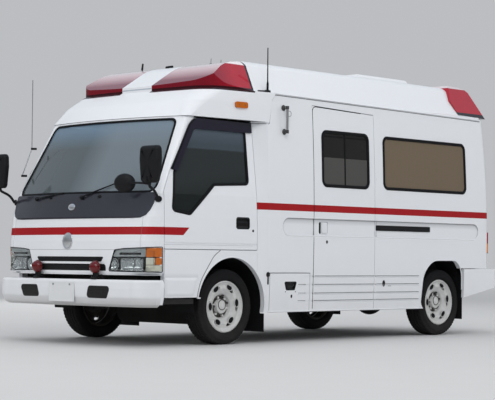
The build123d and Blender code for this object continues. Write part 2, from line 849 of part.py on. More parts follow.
# Frame: two rails and their cross members
bracket_low_z = 555
rail_half = 380
rail_width = 60
rail_low_z = 470
rail_front_x, rail_rear_x = 2392.4, -2265
cross_xs = (2250, 1000, 200, -700, -1250, -1900, -2240)
tow_plate, tow_bore, tow_reach = 20, 17, 70
tow_eyes = ((2335, rail_low_z), (-2340, bracket_low_z))
cross_half = rail_half - rail_width / 2 - seat
outrigger_low = rail_half + rail_width / 2 + seat
with BuildPart() as chassis_frame:
    for side in (1, -1):
        with Locations(((rail_front_x + rail_rear_x) / 2, side * rail_half, (rail_low_z + rail_top_z) / 2)):
            Box(rail_front_x - rail_rear_x, rail_width, rail_top_z - rail_low_z)
    for x in cross_xs:
        add(block(x - 30, x + 30, -cross_half, cross_half, rail_top_z - 50, rail_top_z))
    for x, reach in ((2250, 700), (200, 860), (-2240, 780)):
        add(block(x - 25, x + 25, outrigger_low, reach, rail_top_z - 50, rail_top_z))
        add(block(x - 25, x + 25, -reach, -outrigger_low, rail_top_z - 50, rail_top_z))
    for side in (1, -1):
        y_low, y_high = side * rail_half - rail_width / 2, side * rail_half + rail_width / 2
        add(block(rear_x + bumper_sheet + seat, rail_rear_x, y_low, y_high, bracket_low_z, rail_top_z - 6))
        for x, low_z in tow_eyes:
            with Locations((x, side * (rail_half - rail_width / 2 - tow_reach / 2 + 5), low_z + tow_plate / 2)):
                Box(90, tow_reach + 10, tow_plate)
            with Locations((x, side * (rail_half - rail_width / 2 - tow_reach / 2), low_z + tow_plate / 2)):
                Cylinder(tow_bore, 2 * tow_plate, mode=Mode.SUBTRACT)
keep(chassis_frame, "chassis_frame")

# Axles, springs, drive
beam_half = kingpin_y - 45
with BuildPart() as axle_front:
    add(block(axle_front_x - 30, axle_front_x + 30, -beam_half, beam_half, hub_z - 32, hub_z + 32))
    for side in (1, -1):
        with BuildSketch(Plane.XY.offset(hub_z - 35)):
            with Locations((axle_front_x, side * kingpin_y)):
                Circle(36)
        extrude(amount=70)
        with BuildSketch(Plane.XY.offset(hub_z - 35)):
            with Locations((axle_front_x, side * (kingpin_y - 40))):
                Rectangle(50, 60)
        extrude(amount=70)
        with Locations((axle_front_x, side * kingpin_y, hub_z)):
            Cylinder(kingpin_radius + turn_gap, 200, mode=Mode.SUBTRACT)
keep(axle_front, "axle_front")

knuckle_plate = 22
for side, hand in ((1, "left"), (-1, "right")):
    with BuildPart() as knuckle:
        for z in (hub_z - 35 - gap - knuckle_plate, hub_z + 35 + gap):
            with BuildSketch(Plane.XY.offset(z)):
                with Locations((axle_front_x, side * kingpin_y)):
                    Circle(38)
                with Locations((axle_front_x, side * (kingpin_y + 33))):
                    Rectangle(76, 50)
            extrude(amount=knuckle_plate)
        with Locations((axle_front_x, side * kingpin_y, hub_z)):
            Cylinder(kingpin_radius, 2 * (35 + gap) + knuckle_plate)
        with Locations((axle_front_x, side * (kingpin_y + 52), hub_z)):
            Box(76, 20, 2 * (35 + gap) + 2 * knuckle_plate)
        low, high = (kingpin_y + 50, 812) if side > 0 else (-812, -kingpin_y - 50)
        add(tube_y(axle_front_x, hub_z, spindle_radius, low, high))
    keep(knuckle, "knuckle_" + hand)

with BuildPart() as axle_rear:
    add(tube_y(axle_rear_x, hub_z, 45, -720, 720))
    add(tube_y(axle_rear_x, hub_z, spindle_radius, -812, 812))
    with Locations((axle_rear_x, 0, hub_z)):
        Sphere(145)
    with BuildSketch(Plane.YZ.offset(axle_rear_x)):
        with Locations((0, hub_z + 30)):
            Circle(50)
    extrude(amount=165)
keep(axle_rear, "axle_rear")

with BuildPart() as leaf_springs:
    for axle_x, half_length, seat_z in (
        (axle_front_x, 560, hub_z + 32 + seat),
        (axle_rear_x, 640, hub_z + 45 + seat),
    ):
        for side in (1, -1):
            y = side * rail_half
            with BuildSketch(Plane.XZ.offset(-y - 30)):
                with BuildLine():
                    ThreePointArc(
                        (axle_x - half_length, seat_z + 90),
                        (axle_x, seat_z + 22),
                        (axle_x + half_length, seat_z + 90),
                    )
                    Line((axle_x + half_length, seat_z + 90), (axle_x + half_length, seat_z + 78))
                    Line((axle_x + half_length, seat_z + 78), (axle_x + 60, seat_z))
                    Line((axle_x + 60, seat_z), (axle_x - 60, seat_z))
                    Line((axle_x - 60, seat_z), (axle_x - half_length, seat_z + 78))
                    Line((axle_x - half_length, seat_z + 78), (axle_x - half_length, seat_z + 90))
                make_face()
            extrude(amount=60)
            for end in (-1, 1):
                x = axle_x + end * (half_length - 30)
                add(block(x - 30, x + 30, y - 22, y + 22, seat_z + 70, rail_low_z - seat))
keep(leaf_springs, "leaf_springs")

with BuildPart() as engine_block:
    add(block(1500, 2050, -260, 260, 420, 760))
    add(block(1150, 1500, -160, 160, 430, 700))
    for x in (1540, 2010):
        add(block(x - 25, x + 25, -rail_half + rail_width / 2 + seat, rail_half - rail_width / 2 - seat, 500, 560))
keep(engine_block, "engine_block")

shaft_clear = 2.6
with BuildPart() as drive_shaft:
    with BuildLine() as shaft_line:
        Line((1150 - shaft_clear, 0, 500), (axle_rear_x + 165 + shaft_clear, 0, hub_z + 30))
    with BuildSketch(Plane(origin=shaft_line.line @ 0, z_dir=shaft_line.line % 0)):
        Circle(38)
    sweep()
keep(drive_shaft, "drive_shaft")
# Wheels: a smooth tyre, and a pressed steel rim with six slots and six nuts
rim_in_y = tyre_centre_y - rim_width / 2
rim_out_y = tyre_centre_y + rim_width / 2
tyre_out_y = tyre_centre_y + tyre_width / 2
rim_profile = (
    (hub_bore, 768),
    (66, 768),
    (66, 785),
    (98, 785),
    (116, 812),
    (148, 838),
    (178, 834),
    (196, 818),
    (196, rim_in_y + 12),
    (210, rim_in_y),
    (rim_radius - 2, rim_in_y),
    (206, rim_in_y + 16),
    (206, rim_out_y - 12),
    (rim_radius - 2, rim_out_y),
    (210, rim_out_y + 4),
    (198, rim_out_y - 10),
    (182, 848),
    (150, 852),
    (108, 826),
    (92, 797),
    (66, 797),
    (58, 832),
    (0, 840),
    (0, 818),
    (hub_bore, 818),
)
tyre_bead = 206.5
tyre_profile = (
    (tyre_bead, 786),
    (tyre_bead, rim_out_y - 18),
    (219, rim_out_y - 4),
    (223, rim_out_y + 6),
    (262, tyre_out_y),
    (302, tyre_out_y - 12),
    (tyre_radius, tyre_out_y - 34),
    (tyre_radius, 786),
)
slot_ring_radius = 163
slot_half_wide, slot_half_long, slot_start = 16, 32, -5
nut_ring_radius = 80
radial = Plane(origin=(axle_front_x, 0, hub_z), x_dir=(1, 0, 0), z_dir=(0, 0, 1))
facing = Plane(origin=(axle_front_x, 0, hub_z), x_dir=(1, 0, 0), z_dir=(0, 1, 0))
wheel_axis = Axis((axle_front_x, 0, hub_z), (0, 1, 0))
with BuildPart() as rim:
    with BuildSketch(radial):
        with BuildLine():
            Polyline(*rim_profile, close=True)
        make_face()
    revolve(axis=wheel_axis)
    with BuildSketch(facing.offset(rim_out_y + 20)):
        with PolarLocations(slot_ring_radius, 6, slot_start):
            Ellipse(slot_half_wide, slot_half_long)
    extrude(amount=-70, mode=Mode.SUBTRACT)
    with BuildSketch(facing.offset(795)):
        with PolarLocations(nut_ring_radius, 6, 50):
            RegularPolygon(11, 6)
    extrude(amount=22)
with BuildPart() as tyre:
    with BuildSketch(radial):
        with BuildLine():
            Polyline(*tyre_profile)
            Polyline(*[(r, 2 * tyre_centre_y - y) for r, y in tyre_profile])
        make_face()
    revolve(axis=wheel_axis)
for model, label in ((rim, "rim"), (tyre, "tyre")):
    for end, shift in (("front", 0), ("rear", -wheelbase)):
        with BuildPart() as left:
            with Locations((shift, 0, 0)):
                add(model.part)
        keep_pair(left, label + "_" + end)

# Floors: cab floor over the front wheels, low floor behind, boxes over the rear wheels
cab_floor_z = 790
floor_half = body_half(floor_z - floor_thick) - wall - rest_depth - seat
cab_floor_half = 876
floor_rear_x = body_rear_x + wall + seat
rear_box_front_x, rear_box_rear_x = -1165, -1960
rear_box_y, rear_box_z = 640, 800
stretcher_x, stretcher_pitch_x, stretcher_pitch_y, stretcher_bolt = -450, 1100, 400, 12
with BuildPart() as floor:
    add(block(-2230, 960, -floor_half, floor_half, floor_z - floor_thick, floor_z))
    add(block(floor_rear_x, -2230, -tail_half + 30, tail_half - 30, floor_z - floor_thick, floor_z))
    for side in (1, -1):
        y_low, y_high = (rear_box_y, floor_half) if side > 0 else (-floor_half, -rear_box_y)
        add(block(rear_box_rear_x, rear_box_front_x, y_low, y_high, floor_z, rear_box_z))
        y_low, y_high = (rear_box_y + 15, floor_half + 10) if side > 0 else (-floor_half - 10, -rear_box_y - 15)
        add(
            block(rear_box_rear_x + 15, rear_box_front_x - 15, y_low, y_high, 500, rear_box_z - 15),
            mode=Mode.SUBTRACT,
        )
    add(block(930, 960, -cab_floor_half, cab_floor_half, floor_z, cab_floor_z))
    add(block(930, 2190, -cab_floor_half, cab_floor_half, cab_floor_z - 25, cab_floor_z))
    add(block(2185, 2210, -cab_floor_half + 60, cab_floor_half - 60, rail_top_z + seat, cab_floor_z))
    with Locations((stretcher_x, 0, floor_z)):
        with GridLocations(stretcher_pitch_x, stretcher_pitch_y, 2, 2):
            Cylinder(stretcher_bolt / 2, 3 * floor_thick, mode=Mode.SUBTRACT)
keep(floor, "floor")

# Under the floor
with BuildPart() as fuel_tank:
    add(block(-720, -120, -840, -rail_half - rail_width / 2 - 40, 330, 560))
    fillet(fuel_tank.edges().filter_by(Axis.X), 40)
    for x in (-620, -220):
        add(block(x - 20, x + 20, -800, -rail_half - rail_width / 2 - seat, 540, rail_top_z - 10))
keep(fuel_tank, "fuel_tank")

with BuildPart() as exhaust:
    with BuildSketch(Plane.YZ.offset(-650)):
        with Locations((560, 420)):
            SlotOverall(190, 130)
    extrude(amount=600)
    with BuildSketch(Plane.YZ.offset(-1140)):
        with Locations((560, 420)):
            Circle(27)
    extrude(amount=2000)
    for x in (-560, -120, 800):
        add(block(x - 15, x + 15, rail_half + rail_width / 2 + seat, 560, 400, 500))
        add(block(x - 15, x + 15, rail_half + rail_width / 2 + seat, 440, 470, 560))
keep(exhaust, "exhaust")

flap_x = 1000
with BuildPart() as mudflaps:
    for side in (1, -1):
        y_low, y_high = (650, 877) if side > 0 else (-877, -650)
        add(block(flap_x - 8, flap_x, y_low, y_high, 98, 560))
        inner = (rail_half + rail_width / 2 + seat, 700) if side > 0 else (-700, -rail_half - rail_width / 2 - seat)
        add(block(flap_x - 38, flap_x - 8, inner[0], inner[1], 530, 560))
keep(mudflaps, "mudflaps")

with BuildPart() as side_steps:
    for side in (1, -1):
        y_low, y_high = (760, 905) if side > 0 else (-905, -760)
        add(block(1830, 2190, y_low, y_high, 349, 394))
        inner = (rail_half + rail_width / 2 + seat, 800) if side > 0 else (-800, -rail_half - rail_width / 2 - seat)
        add(block(2140, 2180, inner[0], inner[1], 380, 500))
        add(block(2140, 2180, y_low, y_high, 380, 400))
keep(side_steps, "side_steps")

# Lamps on the front bumper and on the rear corners
lamp_y, lamp_z, lamp_radius, lamp_stand_x = 370, 645, 47, 2428
with BuildPart() as warning_lamps:
    for side in (1, -1):
        with BuildSketch(Plane.YZ.offset(lamp_stand_x - 22)):
            with Locations((side * lamp_y, lamp_z)):
                Circle(lamp_radius)
        extrude(amount=50, taper=10)
        with Locations((lamp_stand_x, side * lamp_y, (bumper_top_z + lamp_z) / 2 + seat / 2)):
            Box(30, 36, lamp_z - bumper_top_z - seat)
keep(warning_lamps, "warning_lamps")

tail_lamp_line = ((-2330, 700), (-2330, 1010), (-2252, 1010), (-2252, 700))
with BuildPart() as tail_lamps:
    add(body_form(-14))
    add(body_form(-seat), mode=Mode.SUBTRACT)
    with BuildPart(mode=Mode.PRIVATE) as lamp_places:
        for side in (1, -1):
            y_low, y_high = (tail_half + 20, 930) if side > 0 else (-930, -tail_half - 20)
            add(block(-2400, body_rear_x + 30, y_low, y_high, 700, 1010))
    add(lamp_places.part, mode=Mode.INTERSECT)
keep(tail_lamps, "tail_lamps")

# Door visors: a smoked strip over the pillar edge and the top of each window
visor_depth = 16
visor_line = (
    (2090, 1450),
    (1846, 1836),
    (1776, 1886),
    (1115, 1886),
    (1115, 1800),
    (1790, 1800),
    (1818, 1786),
    (2040, 1430),
)
side_lean = atan2(cab_sections[4][5] - cab_sections[5][5], cab_sections[5][0] - cab_sections[4][0])
pillar_plane = Plane(
    origin=(0, cab_sections[4][5], cab_sections[4][0]),
    x_dir=(1, 0, 0),
    z_dir=(0, -cos(side_lean), -sin(side_lean)),
)
with BuildPart() as visor_left:
    with BuildSketch(pillar_plane.offset(-seat)) as strip:
        with BuildLine():
            Polyline(*[(x, (z - cab_sections[4][0]) / cos(side_lean)) for x, z in visor_line], close=True)
        make_face()
        fillet(strip.vertices(), 8)
    extrude(amount=-visor_depth)
keep_pair(visor_left, "visor")

# Mirrors: a tall door mirror on a bent arm, and a round under-mirror on the left
mirror_x, mirror_y, mirror_z = 2385, 972, 1475
under_x, under_y, under_z = 2400, 660, 1330
foot_x, foot_y, foot_z = 2240.5, 908.5, 1200
for side, hand in ((1, "left"), (-1, "right")):
    with BuildPart() as mirror:
        with Locations((mirror_x, side * mirror_y, mirror_z)):
            Box(62, 196, 300)
        fillet(mirror.edges().filter_by(Axis.X), 30)
        fillet(mirror.faces().sort_by(Axis.X)[-1].edges(), 14)
        with BuildLine() as arm:
            FilletPolyline(
                (mirror_x, side * 960, mirror_z - 140),
                (mirror_x, side * 952, 1300),
                (2300, side * 930, 1262),
                (foot_x + 12, side * (foot_y + 12), foot_z),
                radius=20,
            )
        with BuildSketch(Plane(origin=arm.line @ 0, z_dir=arm.line % 0)):
            Circle(11)
        sweep()
        with BuildSketch(Plane(origin=(foot_x, side * foot_y, foot_z), z_dir=(0.7, side * 0.7, 0.13))):
            Ellipse(30, 24)
        extrude(amount=18)
        if side > 0:
            with BuildSketch(Plane.YZ.offset(under_x - 40)):
                with Locations((under_y, under_z)):
                    Ellipse(98, 74)
            dome = extrude(amount=52)
            fillet(dome.faces().sort_by(Axis.X)[-1].edges(), 22)
            add(tube_y(mirror_x - 20, under_z, 9, under_y, 955))
    keep(mirror, "mirror_" + hand)

# Wipers parked along the foot of the windscreen
def face_x(y, z, proud):
    """x of the cab's bowed front at y and z, or of a surface proud of it."""
    for low, high in zip(cab_sections, cab_sections[1:]):
        if low[0] <= z <= high[0]:
            share = (z - low[0]) / (high[0] - low[0])
            x_mid = low[1] + share * (high[1] - low[1])
            bow_low = (low[1] - low[3]) / low[2] ** 2
            bow_high = (high[1] - high[3]) / high[2] ** 2
            return x_mid + proud - (bow_low + share * (bow_high - bow_low)) * y**2


# Pivot y, blade's end y, how much higher that end is, and how far the pivot's foot is proud
wiper_table = ((-500, -130, 45, 8.2), (130, 470, 118, 6.5))
wiper_z, wiper_boss, wiper_proud = 1222, 30, 27
with BuildPart() as wipers:
    for y, end_y, rise, proud in wiper_table:
        boss_x = face_x(y, wiper_z, proud)
        with BuildSketch(Plane.YZ.offset(boss_x)):
            with Locations((y, wiper_z)):
                Circle(15)
        extrude(amount=wiper_boss)
        with BuildLine() as blade:
            Line(
                (boss_x + wiper_boss - 6, y, wiper_z),
                (face_x(end_y, wiper_z + rise, wiper_proud), end_y, wiper_z + rise),
            )
        with BuildSketch(Plane(origin=blade.line @ 0, z_dir=blade.line % 0)):
            Rectangle(12, 16)
        sweep()
keep(wipers, "wipers")

# Roof aerials, and the upright grab rail behind the cab
mast_x, mast_y, mast_top_z = 940, 908, 2556
with BuildPart() as antennas:
    with Locations((mast_x, mast_y, cap_seam_z + seat + 12)):
        Box(60, 30, 24)
    with Locations((mast_x, mast_y, (cap_seam_z + 20 + mast_top_z) / 2)):
        Cylinder(6, mast_top_z - cap_seam_z - 20)
keep(antennas, "antennas")

rail_x, rail_low, rail_high = 760, 1822, 2056
with BuildPart() as grab_rail:
    rail_y = body_half(rail_low) + 38
    with Locations((rail_x, rail_y, (rail_low + rail_high) / 2)):
        Cylinder(11, rail_high - rail_low)
    for z in (rail_low + 12, rail_high - 12):
        add(tube_y(rail_x, z, 9, body_half(z) + 3 * seat, rail_y))
keep(grab_rail, "grab_rail")

# Cab and patient room inside
steering_tilt = Plane(origin=(1900, -420, 1240), z_dir=(-sin(radians(35)), 0, cos(radians(35))))
with BuildPart() as dashboard:
    add(block(1990, 2225, -760, 760, 1010, 1190))
    add(block(2120, 2170, -700, 700, cab_floor_z + seat, 1015))
    fillet(dashboard.edges().filter_by(Axis.Y).group_by(Axis.Z)[-1], 60)
    with BuildSketch(steering_tilt.offset(-260)):
        Circle(30)
    extrude(amount=150 - turn_gap)
keep(dashboard, "dashboard")

with BuildPart() as seats:
    for side in (1, -1):
        with Locations((1450, side * 420, 1060)):
            Box(520, 520, 150)
        with Locations((1225, side * 420, 1330)):
            Box(130, 500, 560)
        with Locations((1215, side * 420, 1690)):
            Box(100, 280, 160)
        with Locations((1450, side * 420, (cab_floor_z + seat + 985) / 2)):
            Box(440, 420, 985 - cab_floor_z - seat)
        for y in (-80, 80):
            with Locations((1215, side * 420 + y, 1610)):
                Cylinder(8, 60)
keep(seats, "seats")

with BuildPart() as steering_wheel:
    with BuildSketch(steering_tilt.offset(-14)):
        Circle(200)
        Circle(174, mode=Mode.SUBTRACT)
        Rectangle(352, 34)
        Circle(50)
    extrude(amount=28)
    with BuildSketch(steering_tilt.offset(-110)):
        Circle(20)
    extrude(amount=100)
keep(steering_wheel, "steering_wheel")

with BuildPart() as cabin_fittings:
    add(block(1000, 1040, -820, 820, cab_floor_z + seat, 1260))
    add(block(-1150, 300, -850, -560, floor_z + seat, 1330))
    add(block(-2100, -500, 500, 620, floor_z + seat, 1060))
keep(cabin_fittings, "cabin_fittings")
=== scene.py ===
import math

import bmesh
import bpy
import numpy as np
from mathutils import Matrix, Vector


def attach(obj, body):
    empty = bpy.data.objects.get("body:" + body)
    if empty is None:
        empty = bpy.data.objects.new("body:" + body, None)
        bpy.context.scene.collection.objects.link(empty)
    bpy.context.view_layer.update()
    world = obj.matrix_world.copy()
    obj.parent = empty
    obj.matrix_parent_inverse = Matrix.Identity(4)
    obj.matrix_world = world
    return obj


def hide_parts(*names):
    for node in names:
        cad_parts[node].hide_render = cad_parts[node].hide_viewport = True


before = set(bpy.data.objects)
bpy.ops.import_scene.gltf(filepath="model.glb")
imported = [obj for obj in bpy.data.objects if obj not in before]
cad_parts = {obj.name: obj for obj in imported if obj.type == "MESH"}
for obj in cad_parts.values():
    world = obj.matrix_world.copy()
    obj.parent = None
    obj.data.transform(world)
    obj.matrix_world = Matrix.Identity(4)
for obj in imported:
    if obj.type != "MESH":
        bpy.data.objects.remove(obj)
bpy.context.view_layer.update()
print("stage: frame loaded")

# lines of the van, in metres
van = {
    "rearX": -2.315, "rearLean": 0.062, "rearBend": 0.92, "bodyFrontX": 0.970, "cabRearX": 1.095,
    "bodyHeights": (0.264, 1.100, 2.160), "bodyHalves": (0.930, 0.946, 0.909), "beltZ": 1.100,
    "eaveZ": 2.126, "axleX": (1.420, -1.565), "hubZ": 0.319, "tyreY": 0.786,
    "flankLow": (0.866, 1.850, 0.0727), "flankHigh": (0.873, 1.640, 0.0782), "flankZ": (1.905, 0.145),
    "roofX": (-2.11, -0.9, 0.45, 0.85, 1.2, 1.305, 1.4, 1.656), "roofBow": (0.034, 0.6),
    "roofZ": (2.428, 2.474, 2.490, 2.466, 2.425, 2.404, 2.366, 2.212),
}
sides = ((1, "left"), (-1, "right"))
wheels = [(end, axleX, side, hand)
          for end, axleX in zip(("front", "rear"), van["axleX"]) for side, hand in sides]
# height, front middle x, half width and x where the front arc ends, x where the side starts, half width
cabSections = np.array((
    (395, 2385, 780, 2315, 2225, 925),
    (600, 2412, 790, 2342, 2238, 932),
    (860, 2420, 800, 2345, 2240, 935),
    (1060, 2400, 830, 2312, 2225, 933),
    (1250, 2366, 870, 2240, 2180, 925),
    (1905, 1990, 775, 1893, 1845, 848),
)) / 1000
# rows and columns of the tables that hold the cab's skin, and the row that distances round the nose go by
skin = {
    "z": (0.395, 1.905, 152), "x": (1.0, 2.40, 281), "y": (0.0, 0.93, 187), "u": (0.0, 1.1, 331),
    "cornerEnd": 61, "noseRow": 47, "step": 0.005,
}


def turnOf(angle):
    # the same angle between minus and plus half a turn
    return (angle + math.pi) % (2 * math.pi) - math.pi


def circle(count):
    return np.linspace(0, 2 * math.pi, count, endpoint=False)


def arcThrough(a, m, b, t):
    # points of the circle through a, m and b, for t from 0 at a to 1 at b
    a, m, b = (np.asarray(p, float) for p in (a, m, b))
    d = 2 * (a[0] * (m[1] - b[1]) + m[0] * (b[1] - a[1]) + b[0] * (a[1] - m[1]))
    sq = [p @ p for p in (a, m, b)]
    centre = np.array((sq[0] * (m[1] - b[1]) + sq[1] * (b[1] - a[1]) + sq[2] * (a[1] - m[1]),
                       sq[0] * (b[0] - m[0]) + sq[1] * (a[0] - b[0]) + sq[2] * (m[0] - a[0]))) / d
    start, end = (math.atan2(*(p - centre)[::-1]) for p in (a, b))
    th = start + t * turnOf(end - start)
    return centre + np.linalg.norm(a - centre) * np.stack((np.cos(th), np.sin(th)), -1)


def cabPlan(section):
    # half of one plan line of the cab, from the middle of the front round the corner and along the side
    xMid, half, xFront, xSide, sideHalf = section[1:]
    quarter = (xMid - (xMid - xFront) * 0.25, half * 0.5)
    front = arcThrough((xMid, 0), quarter, (xFront, half), np.linspace(0, 1, 41))
    corner = (xSide + (xFront - xSide) * 0.7, half + (sideHalf - half) * 0.7)
    bend = arcThrough((xFront, half), corner, (xSide, sideHalf), np.linspace(0, 1, 21)[1:])
    side = np.stack((np.linspace(xSide, 1.0, 21)[1:], np.full(20, sideHalf)), -1)
    return np.concatenate((front, bend, side))


cabPlans = np.stack([cabPlan(s) for s in cabSections])
skinZ, skinX, skinY, noseU = (np.linspace(*skin[key]) for key in ("z", "x", "y", "u"))
planX, planY = (np.stack([np.interp(skinZ, cabSections[:, 0], line) for line in cabPlans[:, :, axis].T], 1)
                for axis in (0, 1))
cornerEnd, noseRow = skin["cornerEnd"], skin["noseRow"]
sideOf = np.stack([np.interp(skinX, x[::-1], y[::-1]) for x, y in zip(planX, planY)])
frontOf = np.stack([np.interp(skinY, y[:cornerEnd], x[:cornerEnd]) for x, y in zip(planX, planY)])
noseRun = np.hypot(np.diff(planX[noseRow]), np.diff(planY[noseRow]))
noseRef = np.concatenate(((0,), np.cumsum(noseRun)))
noseX, noseY = (np.stack([np.interp(noseU, noseRef, row) for row in plan]) for plan in (planX, planY))


def tableAt(table, cols, r, c):
    # bilinear reading of a table at heights r and places c
    places = []
    for lines, value in ((skinZ, r), (cols, c)):
        at = (np.asarray(value, float) - lines[0]) / (lines[1] - lines[0])
        places.append(np.clip(at, 0, len(lines) - 1.001))
    i, j = places
    i0, j0 = i.astype(int), j.astype(int)
    u, v = i - i0, j - j0
    return ((1 - u) * (1 - v) * table[i0, j0] + (1 - u) * v * table[i0, j0 + 1]
            + u * (1 - v) * table[i0 + 1, j0] + u * v * table[i0 + 1, j0 + 1])


def bodyHalf(z):
    # half width of the load body: the circle through its three heights
    (z0, z1, z2), (y0, y1, y2) = van["bodyHeights"], van["bodyHalves"]
    d = 2 * (y0 * (z1 - z2) + y1 * (z2 - z0) + y2 * (z0 - z1))
    s0, s1, s2 = y0 * y0 + z0 * z0, y1 * y1 + z1 * z1, y2 * y2 + z2 * z2
    cy = (s0 * (z1 - z2) + s1 * (z2 - z0) + s2 * (z0 - z1)) / d
    cz = (s0 * (y2 - y1) + s1 * (y0 - y2) + s2 * (y1 - y0)) / d
    return cy + np.sqrt((y0 - cy) ** 2 + (z0 - cz) ** 2 - (np.asarray(z, float) - cz) ** 2)


def onSide(side):
    # place of (x, z, proud) on the van's left or right: body, cab, and the flare between them
    def place(x, z, proud):
        body, cab = bodyHalf(z), tableAt(sideOf, skinX, z, np.maximum(x, 1.0))
        share = np.clip((x - van["bodyFrontX"]) / (van["cabRearX"] - van["bodyFrontX"]), 0, 1)
        return np.stack((x, side * ((1 - share) * body + share * cab + proud), z), -1)
    return place


def onFront(y, z, proud):
    return np.stack((tableAt(frontOf, skinY, z, np.abs(y)) + proud, y, z), -1)


def onNose(side):
    # place of (u, z, proud) where u runs from the middle of the front round the corner to the side
    def place(u, z, proud):
        x, y = (tableAt(t, noseU, z, u) for t in (noseX, noseY))
        ahead = np.add(u, skin["step"])
        dx, dy = (tableAt(t, noseU, z, ahead) - now for t, now in ((noseX, x), (noseY, y)))
        size = np.hypot(dx, dy) + 1e-9
        return np.stack((x + dy / size * proud, side * (y - dx / size * proud), z), -1)
    return place


def lipPlace(u, z, proud):
    # the lip goes round both corners, so u has a sign here
    u = np.asarray(u, float)
    right, left = onNose(-1)(-u, z, proud), onNose(1)(u, z, proud)
    return np.where((u < 0)[..., None], right, left)


def noseAt(y):
    # distance round the nose at which the half width is y
    return float(np.interp(y, planY[noseRow, :cornerEnd], noseRef[:cornerEnd]))


# height, front x in the middle and at the ends, half width
bumperRows = ((0.325, 2.424, 2.372, 0.762), (0.345, 2.452, 2.400, 0.774), (0.400, 2.475, 2.425, 0.780),
              (0.470, 2.480, 2.430, 0.780), (0.527, 2.478, 2.428, 0.780), (0.545, 2.464, 2.414, 0.773))


def onBumper(y, z, proud):
    # place of (y, z, proud) on the bowed front of the front bumper
    heights, *columns = np.array(bumperRows).T
    mid, end, reach = (np.interp(z, heights, column) for column in columns)
    return np.stack((mid - (mid - end) * (y / reach) ** 2 + proud, y, z), -1)


def onFlank(side):
    # place of (x, z, proud) on the flank of the roof cap over the cab
    def place(x, z, proud):
        low, high = (half + (start - x) * lean for half, start, lean in (van["flankLow"], van["flankHigh"]))
        foot, rise = van["flankZ"]
        return np.stack((x, side * (low + (high - low) * (z - foot) / rise + proud), z), -1)
    return place


def onRear(y, z, proud):
    lean = np.clip((z - van["beltZ"]) / (van["eaveZ"] - van["beltZ"]), 0, 1)
    bend = van["rearBend"]
    ahead = van["rearLean"] * ((1 - bend) * lean + bend * lean ** 2)
    return np.stack((van["rearX"] + ahead - proud, y, z), -1)


def onRoof(x, y, proud):
    bow, reach = van["roofBow"]
    return np.stack((x, y, np.interp(x, van["roofX"], van["roofZ"]) - bow * (y / reach) ** 2 + proud), -1)


def flatPlace(origin, across, up, out):
    # place on a plane: across and up span it, out leaves it
    origin, across, up, out = (np.asarray(v, float) for v in (origin, across, up, out))

    def place(a, b, d):
        return origin + np.multiply.outer(a, across) + np.multiply.outer(b, up) + np.multiply.outer(d, out)
    return place


# mesh makers: each gives (vertices, faces)
def gridFaces(rows, cols, wrapRows=False, wrapCols=False):
    i, j = np.meshgrid(np.arange(rows if wrapRows else rows - 1), np.arange(cols if wrapCols else cols - 1),
                       indexing="ij")
    i2, j2 = (i + 1) % rows, (j + 1) % cols
    return np.stack((i * cols + j, i * cols + j2, i2 * cols + j2, i2 * cols + j), -1).reshape(-1, 4)


def skinned(rings):
    # a body over closed rings of one size, with a cap on the first and on the last
    rings = np.asarray(rings, float)
    count, size = rings.shape[:2]
    faces = [tuple(f) for f in gridFaces(count, size, False, True)]
    faces += [tuple(range(size)), tuple(range((count - 1) * size, count * size))]
    return rings.reshape(-1, 3), faces


def makePiece(name, parts, key, body, smooth=True):
    # one object from a list of (vertices, faces), with a finish and the body that it rides
    verts, faces, base = [], [], 0
    for v, f in parts:
        v = np.asarray(v, float).reshape(-1, 3)
        verts.append(v)
        faces += [tuple(int(k) + base for k in face) for face in f]
        base += len(v)
    mesh = bpy.data.meshes.new(name)
    mesh.from_pydata(np.concatenate(verts), [], faces)
    solid = bmesh.new()
    solid.from_mesh(mesh)
    bmesh.ops.remove_doubles(solid, verts=solid.verts, dist=1e-6)
    bmesh.ops.recalc_face_normals(solid, faces=solid.faces)
    solid.to_mesh(mesh)
    solid.free()
    mesh.materials.append(mats[key])
    if smooth:
        mesh.shade_smooth()
        mesh.set_sharp_from_angle(angle=math.radians(38))
    else:
        mesh.shade_flat()
    piece = bpy.data.objects.new(name, mesh)
    bpy.context.scene.collection.objects.link(piece)
    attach(piece, body)
    return piece


def roundedLine(points, radius, step=0.02):
    # closed outline: straight runs sampled every step, corners turned with an arc of the given radius
    pts = np.asarray(points, float)
    arcs = []
    for p, q, r in zip(np.roll(pts, 1, 0), pts, np.roll(pts, -1, 0)):
        back, on = np.linalg.norm(p - q), np.linalg.norm(r - q)
        a, b = (p - q) / back, (r - q) / on
        angle = math.acos(max(-1, min(1, float(a @ b))))
        reach = min(radius / math.tan(angle / 2), 0.48 * min(back, on))
        turn = reach * math.tan(angle / 2)
        centre = q + (a + b) / np.linalg.norm(a + b) * (turn / math.sin(angle / 2))
        s, e = q + a * reach - centre, q + b * reach - centre
        start = math.atan2(s[1], s[0])
        th = start + turnOf(math.atan2(e[1], e[0]) - start) * np.linspace(0, 1, 9)
        arcs.append(centre + turn * np.stack((np.cos(th), np.sin(th)), -1))
    line = []
    for arc, after in zip(arcs, arcs[1:] + arcs[:1]):
        line.append(arc)
        run = after[0] - arc[-1]
        count = int(np.linalg.norm(run) / step)
        if count > 0:
            line.append(arc[-1] + run * np.linspace(0, 1, count + 2)[1:-1, None])
    return np.concatenate(line)


def boxLine(a0, a1, b0, b1, radius, step=0.012):
    return roundedLine(((a0, b0), (a1, b0), (a1, b1), (a0, b1)), radius, step)


def ellipseLine(a, b, ra, rb, count=32):
    t = circle(count)
    return np.stack((a + ra * np.cos(t), b + rb * np.sin(t)), -1)


